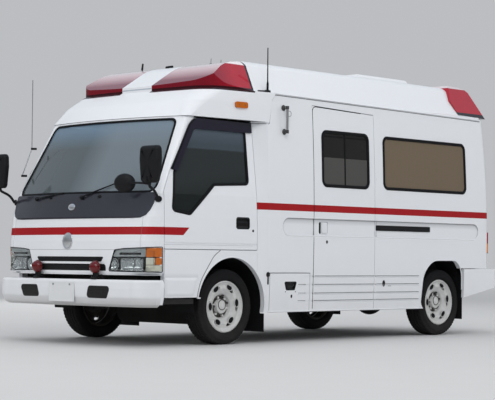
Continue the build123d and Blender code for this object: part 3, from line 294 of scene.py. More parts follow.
def outward(line):
    # unit normals of a closed outline, pointing out of it
    ahead, behind = np.roll(line, -1, 0), np.roll(line, 1, 0)
    along = ahead - behind
    normal = np.stack((along[:, 1], -along[:, 0]), -1)
    normal /= np.linalg.norm(normal, axis=1)[:, None] + 1e-12
    area = np.sum(line[:, 0] * ahead[:, 1] - ahead[:, 0] * line[:, 1])
    return normal if area > 0 else -normal


def mould(line, steps, place):
    # a moulded lump on a surface: the outline is drawn in by each step's inset at that step's height,
    # the last ring is closed towards its middle, and so is the first, under the surface
    def closing(edge, proud, shares):
        middle = edge.mean(0)
        return [(middle + (edge - middle) * k, proud) for k in shares]

    normal = outward(line)
    rings = [(line - normal * inset, proud) for inset, proud in steps]
    rings = closing(*rings[0], (0.12, 0.6)) + rings + closing(*rings[-1], (0.7, 0.4, 0.12))
    return skinned([place(*ring.T, proud) for ring, proud in rings])


def lump(place, a, b, ra, rb, count, *steps):
    # a moulded oval with its middle at (a, b)
    return mould(ellipseLine(a, b, ra, rb, count), steps, place)


def slab(place, box, radius, *steps):
    # a moulded box with rounded corners
    return mould(boxLine(*box, radius), steps, place)


def rim(line, profile, place):
    # a strip carried round a closed outline: profile is a closed list of (out, proud)
    normal = outward(line)
    pts = [place(*(line + normal * out).T, proud) for out, proud in profile]
    return np.stack(pts, 1).reshape(-1, 3), gridFaces(len(line), len(profile), True, True)


def bead(width, height, sink=0.004):
    # rounded strip section, from below the surface up to height
    return [(width / 2 * math.cos(a), (height + sink) * max(math.sin(a), 0) ** 0.6 - sink)
            for a in np.linspace(math.pi, 0, 9)]


def revolve(profile, centre, axis="y", count=64):
    # profile of (radius, offset) turned round an axis through centre
    th = circle(count)[:, None]
    r, offset = np.asarray(profile, float).T[:, None]
    a, b, o = r * np.cos(th), r * np.sin(th), offset + 0 * th
    order = {"y": (a, o, b), "x": (o, a, b), "z": (a, b, o)}[axis]
    pts = np.stack(order, -1) + np.asarray(centre, float)
    return pts.reshape(-1, 3), gridFaces(count, len(profile), True, False)


def tube(path, radius, count=12, flat=1.0):
    # a round or flattened bar along a path: each ring stands square to the path's direction
    path = np.asarray(path, float)
    along = np.gradient(path, axis=0)
    along /= np.linalg.norm(along, axis=1)[:, None]
    side = np.cross(along, (0.0, 0.0, 1.0))
    side[np.linalg.norm(side, axis=1) < 1e-3] = (0, 1, 0)
    side /= np.linalg.norm(side, axis=1)[:, None]
    up = np.cross(side, along)
    t = circle(count)
    radius = np.broadcast_to(radius, len(path))
    return skinned(path[:, None] + radius[:, None, None] * (np.cos(t)[None, :, None] * side[:, None]
                   + flat * np.sin(t)[None, :, None] * up[:, None]))


def bentPath(points, radius=0.03, step=8):
    # open path with rounded bends
    pts = [np.asarray(p, float) for p in points]
    out = [pts[0]]
    for p, q, r in zip(pts, pts[1:], pts[2:]):
        a, b = (p - q), (r - q)
        la, lb = np.linalg.norm(a), np.linalg.norm(b)
        reach = min(radius, la * 0.45, lb * 0.45)
        s, e = q + a / la * reach, q + b / lb * reach
        out += [(1 - k) ** 2 * s + 2 * k * (1 - k) * q + k * k * e for k in np.linspace(0, 1, step)]
    return np.array(out + [pts[-1]])


def lineOn(place, points, proud, radius=0.06, step=10):
    # a bent line through (a, b) points, laid on a surface
    path = bentPath(points, radius, step)
    fine = [np.linspace(p, q, 6, endpoint=False) for p, q in zip(path, path[1:])]
    return place(*np.concatenate(fine + [path[-1:]]).T, proud)


# shader groups and finishes
class Value:
    # a number inside a node tree: plain arithmetic on it adds the nodes that work it out
    def __init__(self, tree, socket):
        self.tree = tree
        self.socket = socket

    def __add__(self, other):
        return maths(self.tree, "ADD", self, other)

    def __sub__(self, other):
        return maths(self.tree, "SUBTRACT", self, other)

    def __rsub__(self, other):
        return maths(self.tree, "SUBTRACT", other, self)

    def __mul__(self, other):
        return maths(self.tree, "MULTIPLY", self, other)

    def __truediv__(self, other):
        return maths(self.tree, "DIVIDE", self, other)

    def __pow__(self, other):
        return maths(self.tree, "POWER", self, other)

    def __gt__(self, other):
        return maths(self.tree, "GREATER_THAN", self, other)

    def __lt__(self, other):
        return maths(self.tree, "LESS_THAN", self, other)

    def __abs__(self):
        return maths(self.tree, "ABSOLUTE", self)

    def clip(self):
        # held between 0 and 1
        self.socket.node.use_clamp = True
        return self


def plug(tree, socket, value):
    # a Value or a socket is linked in, a number or a colour is set
    value = getattr(value, "socket", value)
    if isinstance(value, bpy.types.NodeSocket):
        tree.links.new(value, socket)
    else:
        socket.default_value = (*value[:3], 1) if hasattr(value, "__len__") else value


def plugAll(tree, node, values):
    for label, value in values.items():
        plug(tree, node.inputs[label], value)


def maths(tree, operation, *values):
    node = tree.nodes.new("ShaderNodeMath")
    node.operation = operation
    for socket, value in zip(node.inputs, values):
        plug(tree, socket, value)
    return Value(tree, node.outputs[0])


def greater(first, second):
    return maths(first.tree, "MAXIMUM", first, second)


def rootOf(value):
    return maths(value.tree, "SQRT", value)


def between(value, low, high):
    return (value > low) * (value < high)


def ramp(value, low, high):
    # 0 up to low, 1 from high on
    return ((value - low) / (high - low)).clip()


def splitUp(tree, socket):
    node = tree.nodes.new("ShaderNodeSeparateXYZ")
    tree.links.new(socket, node.inputs[0])
    return [Value(tree, output) for output in node.outputs]


def objectCoords(tree):
    vector = tree.nodes.new("ShaderNodeTexCoord").outputs["Object"]
    return vector, splitUp(tree, vector)


def normalOf(tree):
    return splitUp(tree, tree.nodes.new("ShaderNodeNewGeometry").outputs["Normal"])


def noise(tree, vector, scale, detail=3.0, roughness=0.55):
    node = tree.nodes.new("ShaderNodeTexNoise")
    plugAll(tree, node, {"Vector": vector, "Scale": scale, "Detail": detail, "Roughness": roughness})
    return Value(tree, node.outputs["Fac"])


def mixColour(tree, factor, first, second):
    node = tree.nodes.new("ShaderNodeMix")
    node.data_type = "RGBA"
    for k, value in ((0, factor), (6, first), (7, second)):
        plug(tree, node.inputs[k], value)
    return node.outputs[2]


def over(base, share, colour):
    # a colour laid over the base, by a share from 0 to 1
    return mixColour(share.tree, share, base, colour)


def newGroup(name, inputs, result):
    # a group with float inputs and one float output: it gives the tree, its inputs and the way out
    group = bpy.data.node_groups.new(name, "ShaderNodeTree")
    for label, value in inputs:
        socket = group.interface.new_socket(label, in_out="INPUT", socket_type="NodeSocketFloat")
        socket.default_value = value
    group.interface.new_socket(result, in_out="OUTPUT", socket_type="NodeSocketFloat")
    entry = group.nodes.new("NodeGroupInput").outputs[:-1]
    return group, [Value(group, socket) for socket in entry], group.nodes.new("NodeGroupOutput")


def useGroup(tree, group, values):
    node = tree.nodes.new("ShaderNodeGroup")
    node.node_tree = group
    plugAll(tree, node, values)
    return Value(tree, node.outputs[0])


def buildDust():
    # film of road dust: strong near the ground, thin higher up, broken by cloudy noise
    settings = (("Amount", 0.3), ("Low", 0.1), ("High", 0.9), ("Scale", 6.0))
    group, (amount, low, high, scale), way = newGroup("roadDust", settings, "Mask")
    vector, xyz = objectCoords(group)
    fall = ((high - xyz[2]) / (high - low)).clip()
    shaped = fall ** 1.5 * (noise(group, vector, scale, 5.0, 0.6) * 1.7)
    plug(group, way.inputs[0], (shaped * amount).clip())
    return group


def buildGrain():
    # fine surface grain as a height, with a slower unevenness under it
    group, (scale, wave), way = newGroup("fineGrain", (("Scale", 400.0), ("Wave", 12.0)), "Height")
    vector = objectCoords(group)[0]
    plug(group, way.inputs[0], noise(group, vector, scale, 2.0) + noise(group, vector, wave, 2.0) * 0.7)
    return group


dustGroup, grainGroup = buildDust(), buildGrain()


def startMaterial(name):
    material = bpy.data.materials.new(name)
    material.use_nodes = True
    tree = material.node_tree
    return material, tree, tree.nodes["Principled BSDF"]


def finish(name, colour, roughness, metallic=0.0, coat=0.0, dust=0.0, dustHigh=0.9,
           dustColour=(0.42, 0.38, 0.33), grain=0.0, grainScale=400.0, shade=0.06, shadeScale=9.0, marks=None,
           specular=0.5, transmission=0.0, ior=1.45, sheen=0.0):
    # one general finish: cloudy shade change, dust near the ground, grain as bump, and painted marks
    material, tree, shader = startMaterial(name)
    vector, xyz = objectCoords(tree)
    cloud = noise(tree, vector, shadeScale, 4.0)
    base = mixColour(tree, cloud, [c * (1 - 2 * shade) for c in colour], colour)
    if marks:
        base = marks(*xyz, base)
    if dust:
        film = useGroup(tree, dustGroup, {"Amount": dust, "Low": 0.0, "High": dustHigh})
        base = over(base, film, dustColour)
        rough = (film * 0.8 + roughness).clip()
    else:
        rough = (cloud * 0.1 + (roughness - 0.05)).clip()
    plugAll(tree, shader, {
        "Base Color": base, "Roughness": rough, "Metallic": metallic, "Coat Weight": coat,
        "Coat Roughness": 0.06, "Specular IOR Level": specular, "IOR": ior,
        "Transmission Weight": transmission, "Sheen Weight": sheen,
    })
    if grain:
        bump = tree.nodes.new("ShaderNodeBump")
        height = useGroup(tree, grainGroup, {"Scale": grainScale})
        plugAll(tree, bump, {"Height": height, "Strength": grain, "Distance": 0.001})
        tree.links.new(bump.outputs["Normal"], shader.inputs["Normal"])
    return material


# colours, then bands as their two ends, then shares and the places that bound each mark; the seam grey greys
# the joints and also paints shade in the crease, over the step and in the recess, glint is a painted
# highlight and shade a painted shade tone
paint = {
    "white": (0.80, 0.815, 0.84), "red": (0.36, 0.006, 0.010), "seamAndShade": (0.16, 0.16, 0.17),
    "shade": (0.24, 0.29, 0.38), "glint": (0.95, 0.955, 0.96), "grime": (0.34, 0.325, 0.30),
    "frontStripe": (0.912, 0.976), "frontStripeEnd": (1.910, 1.094), "bodyStripe": (1.147, 1.208),
    "bodyStripeEnd": 1.098, "hoodSeam": (0.7870, 0.7905), "hoodFrom": 2.36, "cornerSeam": (0.8105, 0.8135),
    "cornerEnds": (0.806, 1.055), "cornerFrom": 2.2, "capSeam": (1.9020, 1.9075), "capFrom": 1.0,
    "seamShare": 0.65, "domeSeam": (0.187, 0.1905), "domeEnds": (2.195, 2.47), "domeFrom": 1.15,
    "domeShare": 0.5, "domeLine": (2.184, 2.194), "domeHalf": 0.185, "domeLineShare": 0.7, "beside": 0.90,
    "crease": (0.8325, 0.8360), "creaseEnds": (1.155, 2.195), "creaseShare": 0.45, "tuck": (0.560, 0.600),
    "tuckEnds": (1.800, 2.188), "tuckEase": 0.006, "tuckShare": 0.24,
    "recess": (-0.664, 1.008, 1.368, 0.076), "underFrom": 0.30, "underShare": 0.45, "lip": (0.93, 1.13),
    "lipShare": 0.75, "foot": (0.335, 0.420), "footFrom": 2.16, "footShare": 0.50,
}


def bodyMarks(x, y, z, base):
    # red stripes: a low one round the nose that ends in a slant on the doors, a higher one round the body;
    # and the fine joints between the panels of the nose
    low, high = paint["frontStripe"]
    endX, slope = paint["frontStripeEnd"]
    nose = between(z, low, high) * (x > (high - z) * slope + endX)
    body = between(z, *paint["bodyStripe"]) * (x < paint["bodyStripeEnd"])
    base = over(base, (nose + body).clip(), paint["red"])
    half = abs(y)
    hood = between(z, *paint["hoodSeam"]) * (x > paint["hoodFrom"])
    corner = between(half, *paint["cornerSeam"]) * between(z, *paint["cornerEnds"])
    corner = corner * (x > paint["cornerFrom"])
    cap = between(z, *paint["capSeam"]) * (x > paint["capFrom"])
    base = over(base, (hood + corner + cap).clip() * paint["seamShare"], paint["seamAndShade"])
    ahead = x > paint["domeFrom"]
    dome = between(half, *paint["domeSeam"]) * ahead * between(z, *paint["domeEnds"])
    base = over(base, dome * paint["domeShare"], paint["seamAndShade"])
    # on the flanks: painted shade in the crease across the doors, and painted shade over the step at their
    # foot
    beside = half > paint["beside"]
    crease = between(z, *paint["crease"]) * between(x, *paint["creaseEnds"]) * beside
    base = over(base, crease * paint["creaseShare"], paint["seamAndShade"])
    low, high = paint["tuck"]
    tuck = ((high - z) / (high - low)).clip() * between(z, low - paint["tuckEase"], high)
    tuck = tuck * beside * between(x, *paint["tuckEnds"])
    base = over(base, tuck * paint["tuckShare"], paint["seamAndShade"])
    # the long recess: the distance from its middle line places painted shade on its upper edge and a painted
    # highlight on the lower lip
    midX, midZ, halfRun, radius = paint["recess"]
    drop = (z - midZ) / radius
    past = greater(abs(x - midX) - halfRun, 0.0) / radius
    reach = rootOf(past * past + drop * drop)
    under = ramp(drop, paint["underFrom"], 1.0) * (reach < 1.0) * beside
    base = over(base, under * paint["underShare"], paint["seamAndShade"])
    lip = between(reach, *paint["lip"]) * (drop * -1.0).clip() * beside
    base = over(base, lip * paint["lipShare"], paint["glint"])
    low, high = paint["foot"]
    foot = ((high - z) / (high - low)).clip() * (x > paint["footFrom"])
    base = over(base, foot * paint["footShare"], paint["grime"])
    # painted shade: a blue grey line along the foot of the dome, between its seams
    band = between(z, *paint["domeLine"]) * ahead * (half < paint["domeHalf"])
    return over(base, band * paint["domeLineShare"], paint["shade"])


# beacon colours and places; pale is a painted highlight of sky glare on the faces that look up
beacon = {
    "pale": (0.93, 0.87, 0.885), "maroon": (0.13, 0.006, 0.016), "dark": (0.040, 0.004, 0.008),
    "line": (0.010, 0.004, 0.006), "noseX": (1.28, 1.58), "noseShare": 0.80, "riseZ": (2.19, 2.29),
    "top": (0.60, 0.80), "topShare": 0.97, "skirtZ": 2.186, "footZ": 2.157, "back": (1.134, 2.15, 0.19),
    "rearTop": (0.62, 0.85), "rearTopShare": 0.80, "rearFootZ": 2.192,
}


def lensMarks(x, y, z, base):
    # front beacons: a pale painted highlight of sky glare on the faces that look up, maroon round the front,
    # a dark skirt at the foot and a dark rear edge
    nose = ramp(x, *beacon["noseX"])
    base = over(base, nose * beacon["noseShare"], beacon["maroon"])
    rise = ramp(z, *beacon["riseZ"]) * (1.0 - nose)
    pale = rise * ramp(normalOf(z.tree)[2], *beacon["top"]) * beacon["topShare"]
    base = over(base, pale, beacon["pale"])
    base = over(base, z < beacon["skirtZ"], beacon["dark"])
    rearX, rearZ, lean = beacon["back"]
    base = over(base, x + (z - rearZ) * lean < rearX, beacon["line"])
    return over(base, z < beacon["footZ"], beacon["line"])


def rearLensMarks(x, y, z, base):
    # rear beacons: the flank stays deep red inside a dark border, and the faces that look up carry a pale
    # painted highlight of sky glare
    pale = ramp(normalOf(z.tree)[2], *beacon["rearTop"]) * beacon["rearTopShare"]
    return over(over(base, pale, beacon["pale"]), z < beacon["rearFootZ"], beacon["line"])


tail = {
    "amberZ": 0.905, "clearZ": 0.805, "bars": ((0.900, 0.908), (0.801, 0.809)), "amber": (0.80, 0.26, 0.03),
    "clear": (0.72, 0.72, 0.70), "bar": (0.02, 0.02, 0.02),
}


def tailMarks(x, y, z, base):
    # tail lamps: red over amber over clear, with dark bars between them
    base = over(base, z < tail["amberZ"], tail["amber"])
    base = over(base, z < tail["clearZ"], tail["clear"])
    upper, lower = (between(z, *ends) for ends in tail["bars"])
    return over(base, upper + lower, tail["bar"])


# glass colours and places; the door glass's blue and top colours and the windscreen's left colour are painted
# reflections of the sky
pane = {
    "splitX": -0.5, "filmZ": 1.640, "film": (0.105, 0.102, 0.098), "brown": (0.215, 0.168, 0.118),
    "shoulderZ": (1.628, 1.644), "doorSkyReflection": (0.060, 0.080, 0.100), "doorTopZ": (1.68, 1.88),
    "doorTopReflection": (0.150, 0.195, 0.250), "doorTopShare": 0.8, "bandZ": (1.66, 1.82), "bandShare": 0.85,
    "band": (0.22, 0.335, 0.455), "leftY": (-0.10, 0.20), "leftReflectionShare": 0.55, "left": (0.36, 0.42, 0.47),
}


def windowMarks(x, y, z, base):
    # rear side windows are brown, and the front ones have a paler film on their lower half
    base = over(base, (x > pane["splitX"]) * (z < pane["filmZ"]), pane["film"])
    return over(base, x < pane["splitX"], pane["brown"])


def doorGlassMarks(x, y, z, base):
    # door glass: a painted reflection of the sky, pale blue grey on top, over the dark green grey glass under
    # a line at shoulder height
    base = over(base, ramp(z, *pane["shoulderZ"]), pane["doorSkyReflection"])
    return over(base, ramp(z, *pane["doorTopZ"]) * pane["doorTopShare"], pane["doorTopReflection"])


def screenMarks(x, y, z, base):
    # windscreen: a blue band along the top that fades downwards, and a paler painted sky reflection on the
    # left
    base = over(base, ramp(z, *pane["bandZ"]) * pane["bandShare"], pane["band"])
    return over(base, ramp(y, *pane["leftY"]) * pane["leftReflectionShare"], pane["left"])


# painted shade of the rims: how far a face must look inwards, the half width inside which all is dark, and
# the colour
rimInnerShade = {"facing": -0.3, "innerY": 0.800, "colour": (0.020, 0.018, 0.016)}


def rimInnerShadeMarks(x, y, z, base):
    # painted shade: the inner side of the discs and the barrels behind them are blackened, as they stand in
    # shade under the van
    inward = normalOf(y.tree)[1] * maths(y.tree, "SIGN", y) < rimInnerShade["facing"]
    return over(base, greater(inward, abs(y) < rimInnerShade["innerY"]), rimInnerShade["colour"])


# colour, roughness and the rest of each finish
finishes = {
    "whitePaint": (paint["white"], 0.30, dict(coat=0.22, dust=0.24, dustHigh=0.80, shade=0.012,
        marks=bodyMarks, grain=0.02, grainScale=90, specular=0.3)),
    "trimWhite": (paint["white"], 0.35, dict(coat=0.15, dust=0.16, dustHigh=0.75, shade=0.02,
        specular=0.3)),
    "cowlBlack": ((0.034, 0.035, 0.046), 0.16, dict(shade=0.1, specular=0.62, grain=0.02, grainScale=60)),
    "blackPlastic": ((0.011, 0.011, 0.012), 0.52, dict(dust=0.10, dustHigh=0.8, grain=0.35, grainScale=700,
        specular=0.22)),
    "glossBlack": ((0.008, 0.008, 0.009), 0.22, dict(specular=0.35, shade=0.1)),
    "sealRubber": ((0.008, 0.008, 0.009), 0.62, dict(grain=0.2, grainScale=500, specular=0.16)),
    # grey of the tubes that paint shadow lines under edges and in creases
    "shadowLineGrey": ((0.24, 0.24, 0.25), 0.8, dict(specular=0.05, shade=0.1)),
    "tyreRubber": ((0.010, 0.010, 0.011), 0.75, dict(dust=0.24, dustHigh=0.72, grain=0.4, grainScale=260,
        dustColour=(0.10, 0.092, 0.084), specular=0.12)),
    "wheelSteel": ((0.76, 0.76, 0.75), 0.46, dict(metallic=0.10, dust=0.30, dustHigh=0.8, shade=0.16,
        dustColour=(0.30, 0.27, 0.23), shadeScale=26, grain=0.15, specular=0.4, marks=rimInnerShadeMarks)),
    "rimEdgeSteel": ((0.66, 0.66, 0.65), 0.4, dict(metallic=0.3, dust=0.3, shade=0.1, specular=0.4)),
    "brightMetal": ((0.74, 0.75, 0.76), 0.34, dict(metallic=1.0, shade=0.05, shadeScale=40)),
    "railSteel": ((0.42, 0.42, 0.43), 0.34, dict(metallic=0.8, shade=0.1)),
    "chassisBlack": ((0.014, 0.014, 0.015), 0.65, dict(dust=0.25, dustHigh=0.9, grain=0.5, grainScale=150,
        specular=0.15, dustColour=(0.13, 0.12, 0.10))),
    "castMetal": ((0.07, 0.07, 0.07), 0.65, dict(metallic=0.3, dust=0.4, grain=0.8, grainScale=220,
        dustColour=(0.16, 0.14, 0.12))),
    "exhaustSteel": ((0.20, 0.17, 0.14), 0.5, dict(metallic=0.7, dust=0.4, shade=0.25,
        dustColour=(0.18, 0.16, 0.13))),
    "windscreenGlass": ((0.15, 0.18, 0.19), 0.03, dict(transmission=0.42, shade=0.04, shadeScale=3,
        marks=screenMarks)),
    "clearGlass": ((0.90, 0.94, 0.94), 0.03, dict(transmission=1.0, ior=1.30, shade=0.0)),
    "doorGlass": ((0.021, 0.027, 0.027), 0.03, dict(transmission=0.30, shade=0.05, marks=doorGlassMarks)),
    "tintGlass": ((0.030, 0.029, 0.029), 0.05, dict(transmission=0.18, shade=0.12, shadeScale=4,
        marks=windowMarks)),
    "redLens": ((0.46, 0.008, 0.022), 0.12, dict(coat=0.4, shade=0.10, shadeScale=26, marks=lensMarks)),
    "rearLens": ((0.46, 0.006, 0.020), 0.12, dict(coat=0.4, shade=0.10, shadeScale=26,
        marks=rearLensMarks)),
    "tailLens": ((0.40, 0.006, 0.012), 0.12, dict(coat=0.4, shade=0.12, shadeScale=40, marks=tailMarks)),
    "darkRedLens": ((0.14, 0.003, 0.005), 0.16, dict(coat=0.2, shade=0.15, shadeScale=60)),
    "maroonRim": ((0.090, 0.006, 0.008), 0.3, dict(coat=0.2, shade=0.15, shadeScale=60)),
    "amberLens": ((0.62, 0.15, 0.012), 0.15, dict(coat=0.3, shade=0.16, shadeScale=50)),
    "creamLens": ((0.60, 0.60, 0.50), 0.18, dict(coat=0.4, shade=0.14, shadeScale=50)),
    "smokeVisor": ((0.012, 0.009, 0.022), 0.16, dict(coat=0.12, specular=0.35, shade=0.15, shadeScale=5)),
    "lampReflector": ((0.62, 0.63, 0.64), 0.14, dict(metallic=0.85, shade=0.2, shadeScale=45)),
    "lampGrey": ((0.52, 0.53, 0.54), 0.3, dict(coat=0.3, shade=0.12, shadeScale=50)),
    "seatFabric": ((0.07, 0.073, 0.09), 0.9, dict(sheen=0.3, grain=0.8, grainScale=900, specular=0.2)),
    "cabinTrim": ((0.22, 0.215, 0.20), 0.6, dict(grain=0.4, grainScale=500, specular=0.2)),
    "dashPlastic": ((0.05, 0.05, 0.053), 0.55, dict(grain=0.5, grainScale=600, specular=0.2)),
    "plateWhite": ((0.74, 0.75, 0.76), 0.35, dict(coat=0.2, shade=0.03)),
    "mirrorGlass": ((0.75, 0.78, 0.80), 0.04, dict(metallic=1.0, shade=0.02)),
}
mats = {name: finish(name, colour, roughness, **more)
        for name, (colour, roughness, more) in finishes.items()}

nodeFinish = {
    "whitePaint": ("cab_front", "door_left", "door_right", "side_left", "side_right", "door_slide",
        "utility_lid", "tailgate", "roof_cap", "rear_frame", "bumper_front", "bumper_rear"),
    "cowlBlack": ("cowl_panel",), "windscreenGlass": ("windscreen",), "lampReflector": ("headlamps",),
    "doorGlass": ("glass_door_left", "glass_door_right"), "tintGlass": ("side_glass", "tailgate_glass"),
    "amberLens": ("marker_lamps",), "redLens": ("beacons_front",), "rearLens": ("beacons_rear",),
    "tailLens": ("tail_lamps",), "darkRedLens": ("warning_lamps",),
    "smokeVisor": ("visor_left", "visor_right"), "sealRubber": ("mudflaps", "wipers"),
    "dashPlastic": ("dashboard", "steering_wheel"),
    "blackPlastic": ("grille", "mirror_left", "mirror_right", "side_steps", "antennas", "slide_rail"),
    "tyreRubber": ("tyre_front_left", "tyre_front_right", "tyre_rear_left", "tyre_rear_right"),
    "wheelSteel": ("rim_front_left", "rim_front_right", "rim_rear_left", "rim_rear_right"),
    "chassisBlack": ("chassis_frame", "axle_front", "axle_rear", "leaf_springs", "fuel_tank", "drive_shaft",
        "floor"), "castMetal": ("knuckle_left", "knuckle_right", "engine_block"),
    "exhaustSteel": ("exhaust",), "railSteel": ("grab_rail",), "seatFabric": ("seats",),
    "cabinTrim": ("cabin_fittings",),
}
for key, names in nodeFinish.items():
    for name in names:
        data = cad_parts[name].data
        data.materials.clear()
        data.materials.append(mats[key])
print("stage: finishes on the packed nodes")

# window seals: outline, corner radius, and the bead's width and height
seals = {
    "door": (((2.101, 1.114), (2.065, 1.425), (1.815, 1.820), (1.190, 1.820), (1.195, 1.360),
        (1.608, 1.340), (1.902, 1.087)), 0.036, (0.024, 0.007)),
    "front": (((-0.392, 1.385), (0.250, 1.385), (0.250, 1.872), (-0.392, 1.872)), 0.055, (0.030, 0.008)),
    "rear": (((-1.900, 1.390), (-0.620, 1.390), (-0.620, 1.866), (-1.890, 1.864)), 0.055, (0.030, 0.008)),
    "tail": (((-0.610, 1.350), (0.610, 1.350), (0.580, 1.860), (-0.580, 1.860)), 0.06, (0.034, 0.008)),
    "screen": (((-0.862, 1.262), (0.862, 1.262), (0.768, 1.880), (-0.768, 1.880)), 0.06, (0.021, 0.006)),
}


def seal(name, key, body, place):
    line, radius, size = seals[key]
    strip = rim(roundedLine(line, radius), bead(*size), place)
    makePiece(name, [strip], "sealRubber", body)


def makeSeals():
    for side, hand in sides:
        place = onSide(side)
        seal(f"door_window_seal_{hand}", "door", f"door_{hand}", place)
        for key in ("front", "rear"):
            seal(f"{key}_window_seal_{hand}", key, "root", place)
    seal("tail_window_seal", "tail", "tailgate", onRear)
    seal("windscreen_seal", "screen", "root", onFront)


makeSeals()
print("stage: window seals")

# tyres: the sidewall is a list of (radius, offset from the middle)
tyre = {
    "radius": 0.319, "crownHalf": 0.082, "crownDrop": 0.0045, "columns": 67, "rows": 360, "blocks": 60,
    "grooves": (-0.052, -0.018, 0.018, 0.052), "depth": 0.007, "zigzag": 0.0022, "turn": 1.7,
    "grooveHalf": 0.0046, "cutHalf": 0.11, "cutFrom": 0.050, "cutShare": 0.6,
    "sidewall": ((0.2065, 0.0), (0.2065, 0.064), (0.2150, 0.0745), (0.2225, 0.083), (0.2290, 0.0925),
        (0.2330, 0.0925), (0.2345, 0.0965), (0.2450, 0.1000), (0.2620, 0.1025), (0.2790, 0.1015),
        (0.2805, 0.0990), (0.2870, 0.0985), (0.2885, 0.0957), (0.2990, 0.0920), (0.3080, 0.0835)),
}


def tyreSurface():
    # section of a tyre turned round its axle: the crown carries four zigzag grooves and cross cuts,
    # the sidewall two raised rings
    radius, columns, blocks = tyre["radius"], tyre["columns"], tyre["blocks"]
    crownY = np.linspace(tyre["crownHalf"], -tyre["crownHalf"], columns)
    left = np.array(tyre["sidewall"])
    right = left[::-1] * (1, -1)
    th = circle(tyre["rows"])
    section = np.concatenate((left, np.stack((np.full(columns, radius), crownY), -1), right[:-1]))
    r, y = (np.repeat(section[None, :, k], len(th), 0) for k in (0, 1))
    yy, tt = np.meshgrid(crownY, th)
    cut = np.zeros_like(yy)
    for k, groove in enumerate(tyre["grooves"]):
        line = groove + tyre["zigzag"] * np.sign(np.sin(tt * blocks + k * tyre["turn"]))
        cut = np.maximum(cut, np.abs(yy - line) < tyre["grooveHalf"])
    across = np.abs(((tt * blocks / (2 * math.pi) + 0.25 * np.sign(yy)) % 1) - 0.5) < tyre["cutHalf"]
    cut = np.maximum(cut, tyre["cutShare"] * across * (np.abs(yy) > tyre["cutFrom"]))
    crown = radius - tyre["crownDrop"] * (yy / tyre["crownHalf"]) ** 4
    r[:, len(left):len(left) + columns] = crown - tyre["depth"] * cut
    return r, y, th[:, None]


def makeTyres():
    r, y, th = tyreSurface()
    for end, axleX, side, hand in wheels:
        across = side * (van["tyreY"] + y)
        pts = np.stack((axleX + r * np.cos(th), across, van["hubZ"] + r * np.sin(th)), -1)
        part = (pts, gridFaces(*r.shape, True, True))
        piece = makePiece(f"tread_tyre_{end}_{hand}", [part], "tyreRubber", f"wheel_{end}_{hand}")
        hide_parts(f"tyre_{end}_{hand}")


makeTyres()
print("stage: tyres")

# headlamps: places are half widths that are turned into distances round the nose, and heights
lamp = {
    "outline": ((0.480, 0.610), (0.965, 0.604), (0.965, 0.818), (0.640, 0.803), (0.545, 0.790)),
    "outerY": 0.93, "endX": 2.2040, "endRow": 30, "endGap": 0.002, "radius": 0.018, "inset": 0.007,
    "splitZ": 0.728, "amberY": 0.868, "amberTop": 0.807, "patchShare": 0.52,
    "corner": (0.615, 0.664, 0.668), "edge": 0.008,
    "wall": ((-0.001, -0.036), (-0.001, 0.0025), (-0.003, 0.0035), (-0.007, 0.0015), (-0.007, -0.036)),
    "panelSteps": ((0, -0.033), (0, -0.006), (0.003, -0.004), (0.010, -0.008)),
    "roundBowl": (0.545, 0.668, 0.046, 0.052), "boxBowl": (0.612, 0.845, 0.618, 0.718), "boxRadius": 0.016,
    "bulbs": (0.016, 0.018), "bulbSteps": ((0, -0.030), (0, -0.014), (0.004, -0.009), (0.011, -0.007)),
    "slot": (0.600, 0.820, 0.748, 0.766), "slotSteps": ((0, -0.012), (0, -0.004), (0.002, -0.003)),
    "dish": ((0, -0.034), (0, -0.006), (0.004, -0.004), (0.008, -0.009), (0.018, -0.018), (0.030, -0.024)),
    "lensSteps": ((0, -0.033), (0, -0.001), (0.003, 0.0012)),
    "coverSteps": ((0.001, 0.0018), (0.001, 0.0024), (0.002, 0.0030)),
    "tubSteps": ((0, -0.036), (0, -0.033)), "slotRadius": 0.006, "lensRadius": 0.005,
    "panel": ((0.640, 0.794), (0.556, 0.782)), "panelY": 0.530, "panelTop": 0.803, "panelFoot": 0.004,
    "panelRadius": 0.008, "gap": 0.002, "wideGap": 0.003, "step": 0.012,
    "names": {"glossBlack": "lamp_tubs", "lampGrey": "lamp_upper_panels", "lampReflector": "lamp_bowls",
        "amberLens": "lamp_ambers", "creamLens": "lamp_corner_lenses", "clearGlass": "lamp_covers"},
}


